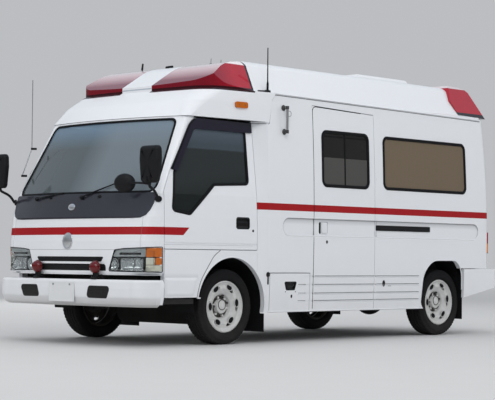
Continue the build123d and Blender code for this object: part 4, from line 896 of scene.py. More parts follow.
def makeHeadlamps():
    row = planX[lamp["endRow"], ::-1]
    end = float(np.interp(lamp["endX"], row, noseRef[::-1])) - lamp["endGap"]
    corners = [(min(noseAt(y), end) if y < lamp["outerY"] else end, z) for y, z in lamp["outline"]]
    outline = roundedLine(corners, lamp["radius"], lamp["step"])
    inner = outline - outward(outline) * lamp["inset"]
    split, amberU = lamp["splitZ"], noseAt(lamp["amberY"])
    patchU = amberU + (end - amberU) * lamp["patchShare"]
    low, high, patchZ = lamp["corner"]
    gap, wide = lamp["gap"], lamp["wideGap"]
    amberX, outerX = amberU + gap, end - lamp["edge"]
    foot, panelX = split + lamp["panelFoot"], amberU - wide
    panel = [(noseAt(lamp["panelY"]), foot), (panelX, foot), (panelX, lamp["panelTop"])]
    panel += [(noseAt(y), z) for y, z in lamp["panel"]]
    panel = roundedLine(panel, lamp["panelRadius"], lamp["step"])
    slot, box = ((noseAt(y0), noseAt(y1), z0, z1) for y0, y1, z0, z1 in (lamp["slot"], lamp["boxBowl"]))
    bowlY, bowlZ, bowlRu, bowlRz = lamp["roundBowl"]
    bowlU = noseAt(bowlY)
    boxY0, boxY1, boxZ0, boxZ1 = lamp["boxBowl"]
    bulbs = ((bowlU, bowlZ), (noseAt((boxY0 + boxY1) / 2), (boxZ0 + boxZ1) / 2))
    lenses = (("amberLens", (amberX, outerX, split + gap, lamp["amberTop"])),
              ("amberLens", (patchU, outerX, patchZ, split - wide)),
              ("creamLens", (amberX, outerX, low, high)),
              ("creamLens", (amberX, patchU - wide, patchZ, split - wide)))
    parts = {key: [] for key in lamp["names"]}
    for side in (1, -1):
        place = onNose(side)
        parts["glossBlack"] += [mould(inner, lamp["tubSteps"], place), rim(outline, lamp["wall"], place),
                                slab(place, slot, lamp["slotRadius"], *lamp["slotSteps"])]
        parts["lampGrey"].append(mould(panel, lamp["panelSteps"], place))
        parts["lampReflector"] += [lump(place, bowlU, bowlZ, bowlRu, bowlRz, 40, *lamp["dish"]),
                                   slab(place, box, lamp["boxRadius"], *lamp["dish"])]
        for (u, z), r in zip(bulbs, lamp["bulbs"]):
            parts["lampReflector"].append(lump(place, u, z, r, r, 24, *lamp["bulbSteps"]))
        for key, lens in lenses:
            parts[key].append(slab(place, lens, lamp["lensRadius"], *lamp["lensSteps"]))
        parts["clearGlass"].append(mould(inner, lamp["coverSteps"], place))
    for key, made in parts.items():
        piece = makePiece(lamp["names"][key], made, key, "root")
        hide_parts("headlamps")


makeHeadlamps()
print("stage: headlamps")

# round lamps on the bumper: the lens is ribbed round its edge and ringed from its middle outwards
roundLamp = {
    "y": 0.370, "z": 0.645, "x": 2.428, "bumperTop": 0.545, "lens": 0.0505, "lensFoot": 0.006,
    "lensOut": 0.049, "ribs": 28, "ribOut": 0.0006, "rings": 40, "ringOut": 0.0007, "back": 0.030,
    "body": ((0, -0.020), (0.020, -0.020), (0.038, -0.014), (0.0545, 0.000), (0.0545, 0.008),
        (0.0520, 0.010), (0.0500, 0.007), (0.030, 0.002), (0, 0.002)),
    "spokes": 112, "turns": 15, "bulge": 0.9, "standGap": 0.0005, "foot": (-0.024, 0.024, -0.034, 0.034),
    "footRadius": 0.010,
    "stand": ((-0.006, 0), (-0.006, 0.016), (-0.002, 0.019), (0.008, 0.022), (0.012, 0.054)),
}


def makeRoundLamps():
    lenses, bodies, stands = [], [], []
    th = circle(roundLamp["spokes"])
    tt, hh = np.meshgrid(np.linspace(0, 1, roundLamp["turns"]), th)
    bow = tt * math.pi / 2
    rad = (roundLamp["lens"] * np.sin(bow) ** roundLamp["bulge"]
           + roundLamp["ribOut"] * np.cos(roundLamp["ribs"] * hh) * tt)
    out = (roundLamp["lensFoot"] + roundLamp["lensOut"] * np.cos(bow)
           + roundLamp["ringOut"] * np.cos(tt * roundLamp["rings"]))
    face = np.stack((out, rad * np.cos(hh), rad * np.sin(hh)), -1)
    back = np.stack((0 * th, roundLamp["back"] * np.cos(th), roundLamp["back"] * np.sin(th)), -1)
    pts = np.concatenate((face, back[:, None]), 1)
    rows, cols = pts.shape[:2]
    faces = [tuple(q) for q in gridFaces(rows, cols, True, False)]
    faces.append(tuple(k * cols + cols - 1 for k in range(rows)))
    for side in (1, -1):
        centre = (roundLamp["x"], side * roundLamp["y"], roundLamp["z"])
        lenses.append((centre + pts, faces))
        bodies.append(revolve(roundLamp["body"], centre, "x", 56))
        low = roundLamp["bumperTop"] + roundLamp["standGap"]
        place = flatPlace((*centre[:2], low), (1, 0, 0), (0, 1, 0), (0, 0, 1))
        stands.append(slab(place, roundLamp["foot"], roundLamp["footRadius"], *roundLamp["stand"]))
    piece = makePiece("round_lamp_lenses", lenses, "darkRedLens", "root")
    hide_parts("warning_lamps")
    makePiece("round_lamp_bodies", bodies, "maroonRim", "root")
    makePiece("round_lamp_stands", stands, "glossBlack", "root")


makeRoundLamps()
print("stage: round lamps")

# wipers: y at the foot, y at the tip and the rise between them; strips as shares of the run and heights
wiper = {
    "table": ((-0.500, -0.130, 0.045), (0.130, 0.470, 0.118)), "z": 1.222, "points": 14,
    "boss": ((0, -0.002), (0.019, -0.002), (0.019, 0.010), (0.015, 0.022), (0.010, 0.027), (0, 0.027)),
    "arm": (0.02, 0.70, (0.026, 0.024), (0.0085, 0.005)), "claws": (0.22, 0.40, 0.62, 0.80, 0.95),
    "clawHalf": 0.022, "strips": ((0.16, 1.0, 0.017, 0.0045, 1.2), (0.14, 1.02, 0.011, 0.0028, 1.4)),
    "washers": ((0.325, 1.228), (-0.300, 1.228)),
    "washer": ((0, -0.001), (0, 0.006), (0.004, 0.013), (0.008, 0.015)), "washerRadii": (0.020, 0.013),
    "bossOut": 0.004, "armFlat": 0.55, "clawOut": 0.014, "claw": (0.0062, 8, 0.9),
}


def wiperPath(row, a, b, proud, count=wiper["points"]):
    y0, y1, rise = row
    y = np.linspace(y0 + (y1 - y0) * a, y0 + (y1 - y0) * b, count)
    return onFront(y, wiper["z"] + (y - y0) * (rise / (y1 - y0)), proud)


def makeWipers():
    parts = []
    for row in wiper["table"]:
        parts.append(revolve(wiper["boss"], onFront(row[0], wiper["z"], wiper["bossOut"]), "x", 24))
        a, b, proud, thick = wiper["arm"]
        path = wiperPath(row, a, b, np.linspace(*proud, wiper["points"]))
        parts.append(tube(path, np.linspace(*thick, wiper["points"]), 10, wiper["armFlat"]))
        for a, b, proud, thick, flat in wiper["strips"]:
            parts.append(tube(wiperPath(row, a, b, proud), thick, 8, flat))
        for a in wiper["claws"]:
            path = wiperPath(row, a - wiper["clawHalf"], a + wiper["clawHalf"], wiper["clawOut"], 4)
            parts.append(tube(path, *wiper["claw"]))
    for y, z in wiper["washers"]:
        parts.append(lump(onFront, y, z, *wiper["washerRadii"], 20, *wiper["washer"]))
    piece = makePiece("wiper_arms", parts, "blackPlastic", "root")
    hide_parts("wipers")


makeWipers()
print("stage: wipers")

mirrors = {
    "place": (2.354, 0.972, 1.475), "foot": (2.2405, 0.9085, 1.200),
    "arm": ((2.385, 0.960, 1.335), (2.385, 0.952, 1.300), (2.300, 0.930, 1.262), (2.2530, 0.9210, 1.200)),
    "outline": ((-0.106, -0.150), (0.074, -0.150), (0.097, 0.040), (0.090, 0.150), (-0.118, 0.150),
        (-0.126, 0.040)),
    "steps": ((0.003, 0.0), (0, 0.004), (0, 0.026), (0.004, 0.042), (0.012, 0.052), (0.026, 0.059),
        (0.045, 0.062)), "clip": ((-0.018, -0.148), (-0.018, -0.095), (0.018, -0.095), (0.018, -0.148)),
    "clipOut": 0.060, "glass": ((0, -0.004), (0, 0.0005), (0.002, 0.0015)), "glassInset": 0.012,
    "under": (2.385, 0.660, 1.330), "underRadius": (0.088, 0.078), "underTurn": 38,
    "underArm": ((2.373, 0.670, 1.330), (2.365, 0.810, 1.330), (2.372, 0.953, 1.315)),
    "dome": ((0.004, -0.022), (0, -0.018), (0, -0.008), (0.006, 0.006), (0.020, 0.016), (0.042, 0.023),
        (0.060, 0.026)), "underGlass": ((0, 0.018), (0, 0.0225), (0.02, 0.0235)), "underInset": 0.008,
    "underBend": 0.05, "underBar": (0.009, 10), "radius": 0.036, "clipBar": (0.006, 8), "armBend": 0.04,
    "armBar": (0.0115, 12), "footTurn": 0.7, "footLean": 0.13, "footRadii": (0.030, 0.026),
    "footSteps": ((0, 0), (0, 0.012), (0.006, 0.018)),
}


def makeUnderMirror():
    # the round mirror that looks down in front of the van: its parts, and its glass as a piece
    turn = math.radians(mirrors["underTurn"])
    ahead, across = (math.cos(turn), math.sin(turn), 0), (-math.sin(turn), math.cos(turn), 0)
    place, rear = (flatPlace(mirrors["under"], across, (0, 0, 1), way) for way in (ahead, -np.array(ahead)))
    disc = ellipseLine(0, 0, *mirrors["underRadius"], 40)
    glass = mould(disc - outward(disc) * mirrors["underInset"], mirrors["underGlass"], rear)
    makePiece("under_mirror_glass", [glass], "mirrorGlass", "root")
    arm = tube(bentPath(mirrors["underArm"], mirrors["underBend"]), *mirrors["underBar"])
    return [mould(disc, mirrors["dome"], place), arm]


def makeMirrors():
    line = roundedLine(mirrors["outline"], mirrors["radius"], 0.03)
    clip, turn = np.array(mirrors["clip"]), mirrors["footTurn"]
    for side, hand in sides:
        mid, arm, (fx, fy, fz) = (np.array(mirrors[key]) * (1, side, 1) for key in ("place", "arm", "foot"))
        front, back = (flatPlace(mid, (0, 1, 0), (0, 0, 1), (way, 0, 0)) for way in (1, -1))
        out = (turn, side * turn, mirrors["footLean"])
        foot = flatPlace((fx, fy, fz), (-turn, side * turn, 0), (0, 0, 1), out)
        parts = [mould(line, mirrors["steps"], front),
                 tube(front(*clip.T, mirrors["clipOut"]), *mirrors["clipBar"]),
                 tube(bentPath(arm, mirrors["armBend"]), *mirrors["armBar"]),
                 lump(foot, 0, 0, *mirrors["footRadii"], 24, *mirrors["footSteps"])]
        if side > 0:
            parts += makeUnderMirror()
        piece = makePiece(f"mirror_housing_{hand}", parts, "blackPlastic", "root")
        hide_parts(f"mirror_{hand}")
        glass = mould(line - outward(line) * mirrors["glassInset"], mirrors["glass"], back)
        makePiece(f"mirror_glass_{hand}", [glass], "mirrorGlass", "root")


makeMirrors()
print("stage: mirrors")

# front: discs, plate, recesses, lip, steps and the drop of the axle's beam
front = {
    "emblem": (0.0, 0.860, 0.062, 0.071), "badge": (0.011, 1.145, 0.042, 0.028),
    "disc": ((0, -0.004), (0, 0.003), (0.002, 0.006), (0.007, 0.0075), (0.012, 0.006), (0.015, 0.0035),
        (0.022, 0.0045), (0.040, 0.0075)), "badgeScale": (0.55, 0.8, 0.0025), "plateZ": 0.438,
    "plateX": 2.481, "plate": (-0.163, 0.163, -0.080, 0.080),
    "plateSteps": ((0, -0.0010), (0, 0.0006), (0.002, 0.0012), (0.005, 0.0012), (0.007, 0.0004)),
    "bolts": ((-0.105, 0.062), (0.105, 0.062)), "plateBack": (-0.12, 0.12, -0.040, 0.040),
    "fog": ((0.330, 0.492), (0.572, 0.490), (0.530, 0.394), (0.304, 0.396)),
    "fogRim": ((-0.007, 0.0010), (-0.004, 0.0030), (0.001, 0.0028), (0.003, 0.0004), (0.003, -0.002),
        (-0.007, -0.002)), "slats": (0.416, 0.442, 0.468), "slatEnds": (0.344, 0.524), "slatHalf": 0.004,
    "cap": (2.3330, 0.9400, 0.425), "capTurn": (0.85, 0.52),
    "grille": (((-0.428, 0.731), (0.428, 0.731), (0.396, 0.690), (-0.396, 0.690)), ((-0.446, 0.664),
        (0.446, 0.664), (0.452, 0.616), (-0.452, 0.616))),
    "vanes": ((0.705, 0.395), (0.718, 0.395), (0.632, 0.440), (0.648, 0.440)), "vaneHalf": 0.0025,
    "lip": (-1.020, 1.020, 0.582, 0.603), "bumperEndX": (2.2135, 2.2478),
    "bumperEnd": ((0.942, 0.345), (0.9565, 0.400), (0.9588, 0.470), (0.9575, 0.527), (0.947, 0.5445),
        (0.930, 0.5445), (0.936, 0.520), (0.9435, 0.470), (0.9420, 0.400), (0.9330, 0.345)),
    "stepZ": (0.410, 0.566), "stepRear": (1.850, 1.806), "stepFront": 2.184, "stepEase": 0.024,
    "stepFoot": 0.0010, "stepOut": 0.0085, "stepSink": -0.004,
    "plateRadius": 0.010, "boltRadius": 0.009, "boltSteps": ((0, -0.020), (0, 0.0040), (0.002, 0.0052)),
    "backRadius": 0.006, "backSteps": ((0, -0.022), (0, -0.0015)), "fogRadius": 0.024,
    "fogFill": ((0, -0.003), (0, 0.0010), (0.004, 0.0016)), "slatRadius": 0.003,
    "slatSteps": ((0, 0.001), (0, 0.0040), (0.002, 0.0050)), "edgeIn": (0.001, 0.003), "edgeBar": (0.0035, 8),
    "capRadius": 0.011, "capSteps": ((0, -0.004), (0, 0.001), (0.003, 0.0018)), "grilleRadius": 0.008,
    "grilleFill": ((0, -0.003), (0, 0.0010), (0.002, 0.0014)), "vaneRadius": 0.002,
    "vaneSteps": ((0, 0.0005), (0, 0.0035), (0.001, 0.0045)), "lipRadius": 0.006,
    "lipSteps": ((0, -0.026), (0, -0.002), (0.003, 0.0006)),
    "beam": ((-0.56, 0.312), (-0.50, 0.285), (-0.46, 0.185), (-0.42, 0.157), (0.42, 0.157), (0.46, 0.185),
        (0.50, 0.285), (0.56, 0.312)), "beamX": (1.371, 1.425),
}


def crossPlane(line, xs):
    # the same outline of (y, z) at each x
    return [[(x, y, z) for y, z in line] for x in xs]


def makePlate():
    inward, upward, lift = front["badgeScale"]
    small = [(a * inward, b * upward + lift) for a, b in front["disc"]]
    discs = [lump(onFront, *front["emblem"], 56, *front["disc"]),
             lump(onFront, *front["badge"], 40, *small)]
    makePiece("front_discs", discs, "brightMetal", "root")
    place = flatPlace((front["plateX"], 0, front["plateZ"]), (0, 1, 0), (0, 0, 1), (1, 0, 0))
    plate = mould(boxLine(*front["plate"], front["plateRadius"], 0.02), front["plateSteps"], place)
    makePiece("blank_plate", [plate], "plateWhite", "root")
    r = front["boltRadius"]
    bolts = [lump(place, a, b, r, r, 6, *front["boltSteps"]) for a, b in front["bolts"]]
    bolts.append(slab(place, front["plateBack"], front["backRadius"], *front["backSteps"]))
    makePiece("plate_bolts", bolts, "railSteel", "root")


def makeRecesses():
    made = []
    half, x0, r = front["slatHalf"], front["bumperEndX"][0], front["capRadius"]
    back, inward = front["edgeIn"]
    for side in (1, -1):
        line = roundedLine(front["fog"], front["fogRadius"], 0.012) * (side, 1)
        made += [mould(line, front["fogFill"], onBumper), rim(line, front["fogRim"], onBumper)]
        for z in front["slats"]:
            slat = boxLine(*front["slatEnds"], z - half, z + half, front["slatRadius"]) * (side, 1)
            made.append(mould(slat, front["slatSteps"], onBumper))
        edge = [(x0 - back, side * (y - inward), z) for y, z in front["bumperEnd"][:5]]
        made.append(tube(edge, *front["edgeBar"]))
        (x, y, z), (ahead, aside) = front["cap"], front["capTurn"]
        place = flatPlace((x, side * y, z), (-aside, side * ahead, 0), (0, 0, 1), (ahead, side * aside, 0))
        made.append(lump(place, 0, 0, r, r, 16, *front["capSteps"]))
    for line in front["grille"]:
        made.append(mould(roundedLine(line, front["grilleRadius"]), front["grilleFill"], onFront))
    for z, half in front["vanes"]:
        vane = (-half, half, z - front["vaneHalf"], z + front["vaneHalf"])
        made.append(slab(onFront, vane, front["vaneRadius"], *front["vaneSteps"]))
    makePiece("front_recess_fill", made, "blackPlastic", "root")


def makeSteps():
    # the foot of each front corner steps out: rows up the panel by stations along it, its edges rounded off
    z0, z1 = front["stepZ"]
    (rearLow, rearHigh), x1 = front["stepRear"], front["stepFront"]
    up, along = np.linspace(0, 1, 21)[None, :], np.linspace(0, 1, 31)[:, None]
    high, back = z0 + (z1 - z0) * up, rearLow + (rearHigh - rearLow) * up
    flat = back + (x1 - back) * along
    edge = np.minimum(np.minimum(high - z0, z1 - high), np.minimum(flat - back, x1 - flat))
    ease = np.clip(edge / front["stepEase"], 0, 1)
    out = front["stepFoot"] + front["stepOut"] * ease * ease * (3 - 2 * ease)
    high = high + 0 * flat
    made = []
    for side in (1, -1):
        outer, inner = (onSide(side)(flat, high, proud) for proud in (out, front["stepSink"]))
        made.append(skinned(np.concatenate((outer, inner[:, ::-1]), 1)))
    makePiece("front_steps_out", made, "trimWhite", "root")


def makeFrontTrim():
    makePlate()
    makeRecesses()
    parts = [slab(lipPlace, front["lip"], front["lipRadius"], *front["lipSteps"])]
    for side in (1, -1):
        line = [(side * y, z) for y, z in front["bumperEnd"]]
        parts.append(skinned(crossPlane(line, front["bumperEndX"])))
    makePiece("front_lip_and_bumper_ends", parts, "trimWhite", "root")
    makeSteps()
    beam = skinned(crossPlane(front["beam"], front["beamX"]))
    makePiece("front_beam_drop", [beam], "chassisBlack", "root", smooth=False)


makeFrontTrim()
print("stage: front trim")

# handles, locks and side fittings: boxes as their two ends along and up
cups = {
    "door": (1.193, 1.354, 0.977, 1.073), "doorPaddle": (1.204, 1.343, 0.986, 1.040),
    "lid": ((0.593, 0.526), (0.750, 0.526), (0.726, 0.455), (0.617, 0.455)),
    "lidPaddle": ((0.612, 0.519), (0.731, 0.519), (0.714, 0.480), (0.629, 0.480)),
    "tail": (-0.150, 0.150, 0.790, 0.880), "tailPaddle": (-0.13, 0.13, 0.836, 0.872),
    "slideSlot": (0.268, 0.297, 0.953, 1.057), "slideGrip": (0.188, 0.262, 0.956, 1.054),
    "gripSteps": ((0, -0.0146), (0, -0.007), (0.006, -0.002), (0.016, -0.001)),
    "slotSteps": ((0, -0.0146), (0, -0.0135)), "inset": 0.0015, "lining": ((0, -0.0145), (0, -0.0115)),
    "frame": ((-0.010, -0.0145), (-0.010, -0.002), (-0.006, 0.0012), (0.002, 0.0018), (0.004, -0.001),
        (-0.001, -0.002), (-0.001, -0.0145)),
    "paddle": ((0, -0.0135), (0, -0.0045), (0.004, -0.002), (0.012, -0.001)),
}
locks = {
    "door": (1.149, 0.962, 0.011, 0.011), "slide": (0.196, 0.881, 0.012, 0.015),
    "lid": (0.655, 0.400, 0.011, 0.015), "catchRadii": (0.020, 0.022), "socketRadii": (0.018, 0.029),
    "screws": ((0.735, 0.440, 0.005, 0.005), (0.605, 0.440, 0.005, 0.005)),
    "cover": ((0, -0.002), (0, 0.001), (0.003, 0.002)),
    "round": ((0, -0.002), (0, 0.0015), (0.003, 0.003)),
    "screw": ((0, -0.001), (0, 0.001), (0.001, 0.0015)), "strap": (-0.008, 0.005, -0.085, -0.015),
    "strapSteps": ((0, -0.002), (0, 0.005), (0.002, 0.007)), "tag": (-0.115, -0.065, -0.028, -0.010),
    "catchSteps": ((0, -0.002), (0, 0.006), (0.004, 0.010), (0.010, 0.011)),
    "socketSteps": ((0, -0.002), (0, 0.004), (0.003, 0.006), (0.006, 0.003)), "catch": (0.966, 0.590),
    "socket": (-0.623, 0.507),
}


def liner(line, place, paddle):
    # black lining of a handle recess with a thin frame round it, and the paddle that the fingers lift
    lining = mould(line - outward(line) * cups["inset"], cups["lining"], place)
    return [lining, rim(line, cups["frame"], place), mould(paddle, cups["paddle"], place)]


def boxAt(middle, box):
    # the ends of a box given from a middle
    (x, z), (x0, x1, z0, z1) = middle, box
    return x + x0, x + x1, z + z0, z + z1


def makeHandles():
    for side, hand in sides:
        place = onSide(side)
        parts = liner(boxLine(*cups["door"], 0.020, 0.02), place, boxLine(*cups["doorPaddle"], 0.012))
        parts.append(lump(place, *locks["door"], 20, *locks["round"]))
        makePiece(f"door_handle_{hand}", parts, "glossBlack", f"door_{hand}")
    place = onSide(1)
    parts = [slab(place, cups["slideSlot"], 0.007, *cups["slotSteps"]),
             lump(place, *locks["slide"], 20, *locks["cover"])]
    makePiece("slide_handle_slot", parts, "glossBlack", "root")
    grip = slab(place, cups["slideGrip"], 0.014, *cups["gripSteps"])
    makePiece("slide_handle_grip", [grip], "trimWhite", "root")
    parts = liner(roundedLine(cups["lid"], 0.010), place, roundedLine(cups["lidPaddle"], 0.008))
    parts.append(lump(place, *locks["lid"], 20, *locks["cover"]))
    for screw in locks["screws"]:
        parts.append(lump(place, *screw, 10, *locks["screw"]))
    makePiece("lid_handle", parts, "glossBlack", "utility_lid")
    strap, tag = (boxAt(locks[at], locks[box]) for at, box in (("catch", "strap"), ("socket", "tag")))
    parts = [lump(place, *locks["catch"], *locks["catchRadii"], 24, *locks["catchSteps"]),
             slab(place, strap, 0.004, *locks["strapSteps"]),
             lump(place, *locks["socket"], *locks["socketRadii"], 28, *locks["socketSteps"])]
    makePiece("lid_catch_and_socket", parts, "blackPlastic", "root")
    tag = slab(place, tag, 0.003, (0, -0.001), (0, 0.0008))
    makePiece("socket_blank_tag", [tag], "lampGrey", "root")
    parts = liner(boxLine(*cups["tail"], 0.016, 0.02), onRear, boxLine(*cups["tailPaddle"], 0.010))
    makePiece("tail_handle", parts, "glossBlack", "tailgate")


makeHandles()
print("stage: handles")

grab = {
    "x": 0.760, "low": 1.834, "high": 2.044, "railZ": 1.822, "out": 0.038, "ring": (0.733, 1.992, 0.024),
    "post": ((0.0095, 0.001), (0.024, 0.001), (0.026, 0.006), (0.016, 0.014), (0.0125, 0.030),
        (0.0095, 0.030), (0.0095, 0.001)),
    "collar": ((0.0115, -0.014), (0.0150, -0.014), (0.0150, 0.014), (0.0115, 0.014), (0.0115, -0.014)),
}


def makeGrabFittings():
    parts = []
    railY = float(bodyHalf(grab["railZ"])) + grab["out"]
    for z in (grab["low"], grab["high"]):
        parts += [revolve(grab["post"], (grab["x"], float(bodyHalf(z)), z), "y", 24),
                  revolve(grab["collar"], (grab["x"], railY, z), "z", 24)]
    x, z, r = grab["ring"]
    t = np.linspace(0, 2 * math.pi, 33)
    ring = np.stack((x + r * np.cos(t), railY + 0 * t, z + r * np.sin(t)), -1)
    makePiece("grab_rail_collars", parts, "castMetal", "root")
    makePiece("grab_rail_ring", [tube(ring, 0.003, 8)], "railSteel", "root")


makeGrabFittings()

# roof edges, arches, joints and grey tubes of painted shadow; a strip is its colour, points, height, bend,
# radius, corners and flatness
rearArch = ((-1.185, 0.264), (-1.225, 0.600), (-1.370, 0.727), (-1.760, 0.727), (-1.845, 0.620),
            (-1.852, 0.440))
edges = {
    # the grey strips here are painted shadow: under the gutter, under the cap's lip over the doors, and in
    # the crease of the flare over the front arch
    "strips": (
        ("white", ((0.868, 2.163), (-2.170, 2.130)), 0.003, 0.06, 0.0085, 10, 0.8),
        ("shadowLine", ((0.868, 2.150), (-2.170, 2.117)), 0.0, 0.06, 0.0040, 8, 0.7),
        ("white", ((0.871, 2.158), (0.913, 2.102), (0.954, 1.902), (1.105, 1.902)),
         0.002, 0.03, 0.0065, 10, 1.0),
        ("shadowLine", ((0.861, 2.154), (0.903, 2.098), (0.944, 1.898), (0.954, 1.891), (1.105, 1.891)),
         -0.001, 0.02, 0.0030, 8, 1.0),
        ("white", ((0.955, 0.270), (-1.165, 0.270)), -0.001, 0.02, 0.0075, 8, 1.0),
        ("white", rearArch, -0.002, 0.16, 0.0060, 10, 1.0),
        ("shadowLine", ((1.545, 0.793), (1.622, 0.745), (1.690, 0.653), (1.774, 0.538), (1.806, 0.405)),
         -0.0012, 0.06, 0.0040, 8, 1.0),
    ),
    "leftStrips": (
        ("dark", ((0.373, 0.290), (0.373, 2.087), (-0.300, 2.068)), -0.0020, 0.055, 0.0042, 8, 1.0),
        ("dark", ((-0.503, 0.290), (-0.503, 2.058)), -0.0020, 0.03, 0.0020, 8, 1.0),
    ),
    "ribs": (0.570, 0.495, 0.419, 0.352), "ribSpans": ((0.352, -0.488), (-0.515, -1.160)),
    "rib": (-0.003, -0.0008, 0.0045), "lidRibs": (0.495, 0.419, 0.352), "lidSpans": ((0.470, 0.570),),
    "lidRib": (-0.002, -0.0005, 0.0028), "ribShade": (0.0085, -0.0012, 0.0028),
    "arch": (1.398, 0.335, 0.402), "archEnds": (-0.40, 3.06, 60), "archFoot": 0.396,
    "archSize": (-0.002, 0.0060), "stadium": (-2.108, 0.780, 0.932, 1.084), "stadiumRadius": 0.077,
    "stadiumLow": 1.02, "stadiumOut": -0.0008,
    "splitX": -0.062, "windowZ": (1.392, 1.866, 12), "railX": (-0.385, 0.243, 16), "railZ": 1.832,
    "barOut": -0.003,
}


def edgeStrips(side):
    # every strip of one side: the listed ones, and each rib with the painted shade line over it
    strips = list(edges["strips"])
    ribs = [(edges["ribs"], edges["ribSpans"][0 if side > 0 else 1:], edges["rib"])]
    if side > 0:
        strips += edges["leftStrips"]
        ribs.append((edges["lidRibs"], edges["lidSpans"], edges["lidRib"]))
    for heights, spans, size in ribs:
        for z in heights:
            for x0, x1 in spans:
                for colour, part, count in (("white", size, 8), ("shadowLine", edges["ribShade"], 6)):
                    rise, proud, radius = part
                    run = ((x0, z + rise), (x1, z + rise))
                    strips.append((colour, run, proud, 0.06, radius, count, 1.0))
    return strips


def makeEdges():
    made = {"white": [], "dark": [], "shadowLine": []}
    cx, cz, r = edges["arch"]
    th = np.linspace(*edges["archEnds"])
    archX, archZ = cx + r * np.cos(th), np.maximum(cz + r * np.sin(th), edges["archFoot"])
    archOut, archRadius = edges["archSize"]
    stadium = boxLine(*edges["stadium"], edges["stadiumRadius"], 0.03)
    low = stadium[:, 1] < edges["stadiumLow"]
    for side in (1, -1):
        place = onSide(side)
        for colour, points, proud, bend, radius, count, flat in edgeStrips(side):
            made[colour].append(tube(lineOn(place, points, proud, bend), radius, count, flat))
        # a grey tube paints shade along the recess's upper edge, a white bead runs along its lower lip
        for colour, half, radius, count in (("shadowLine", ~low, 0.0020, 6), ("white", low, 0.0058, 8)):
            run = stadium[half][np.argsort(stadium[half][:, 0])]
            made[colour].append(tube(place(*run.T, edges["stadiumOut"]), radius, count))
        made["white"].append(tube(place(archX, archZ, archOut), archRadius, 10))
    makePiece("roof_edge_beads", made["white"], "trimWhite", "root")
    makePiece("shadow_joints", made["dark"], "sealRubber", "root")
    # grey tubes that paint shadow lines under edges and in creases
    makePiece("painted_shadow_lines", made["shadowLine"], "shadowLineGrey", "root")
    bars = []
    z, rail = np.linspace(*edges["windowZ"]), np.linspace(*edges["railX"])
    for side in (1, -1):
        place = onSide(side)
        bars += [tube(place(0 * z + edges["splitX"], z, edges["barOut"]), 0.0085, 8, 0.6),
                 tube(place(rail, 0 * rail + edges["railZ"], edges["barOut"]), 0.0060, 8, 0.7)]
    makePiece("window_bars", bars, "sealRubber", "root")


makeEdges()

liners = {
    "centre": (1.398, 0.335), "radius": 0.411, "wall": 0.004, "y": (0.640, 0.886),
    "turn": (-0.15, 3.28, 40), "rearY": (0.655, 0.880),
}


def makeLiners():
    # black inner arches over the wheels
    parts = []
    th = np.linspace(*liners["turn"])
    arc = liners["centre"] + liners["radius"] * np.stack((np.cos(th), np.sin(th)), -1)
    rear = bentPath(rearArch, 0.16, 12)
    for side in (1, -1):
        for line, (y0, y1) in ((arc, liners["y"]), (rear, liners["rearY"])):
            ahead = np.gradient(line, axis=0)
            normal = np.stack((ahead[:, 1], -ahead[:, 0]), -1)
            normal /= np.linalg.norm(normal, axis=1)[:, None]
            normal *= np.sign(np.sum(normal * (line - line.mean(0)), 1))[:, None]
            rows = []
            for out, y in ((0, y0), (0, y1), (liners["wall"], y1), (liners["wall"], y0)):
                x, z = (line + normal * out).T
                rows.append(np.stack((x, 0 * x + side * y, z), -1))
            parts.append(skinned(np.stack(rows, 1)))
    makePiece("arch_liners", parts, "sealRubber", "root")


makeLiners()
print("stage: edges and arches")

markers = {
    "z": 2.032, "x": (1.246, 1.314), "radius": 0.005, "steps": ((0, 0.0125), (0, 0.0163), (0.001, 0.0169)),
}


def makeMarkerDetail():
    z, r = markers["z"], markers["radius"]
    parts = [lump(onFlank(side), x, z, r, r, 10, *markers["steps"]) for side in (1, -1) for x in markers["x"]]
    makePiece("marker_screws", parts, "castMetal", "root")


makeMarkerDetail()

# wheel faces: rings of slots and nuts, and the lower mud flaps as (rear x, y and z ends)
wheelFace = {
    "z": 0.335, "slotRing": 0.160, "slotY": 0.8535, "slot": (0.0225, 0.0345), "slotTurn": -5,
    "hollow": ((0, -0.010), (0, -0.001), (0.002, 0.0)),
    "slotRim": ((-0.001, -0.010), (-0.001, 0.0015), (0.002, 0.003), (0.0045, 0.001), (0.0045, -0.010)),
    "nutRing": 0.080, "nutY": 0.7975, "nutTurn": 50, "nut": ((0, -0.001), (0, 0.021), (0.002, 0.023)),
    "stud": ((0, 0.020), (0, 0.029), (0.002, 0.031)), "nutRadii": (0.0125, 0.0065),
    "cap": ((0.039, 0.036), (0.043, 0.0405), (0.047, 0.036), (0.043, 0.032), (0.039, 0.036)), "capY": 0.8,
}
flaps = {
    "thick": 0.008, "boxes": ((0.9915, 0.650, 0.922, 0.098, 0.256), (-1.884, 0.650, 0.9165, 0.150, 0.600)),
}


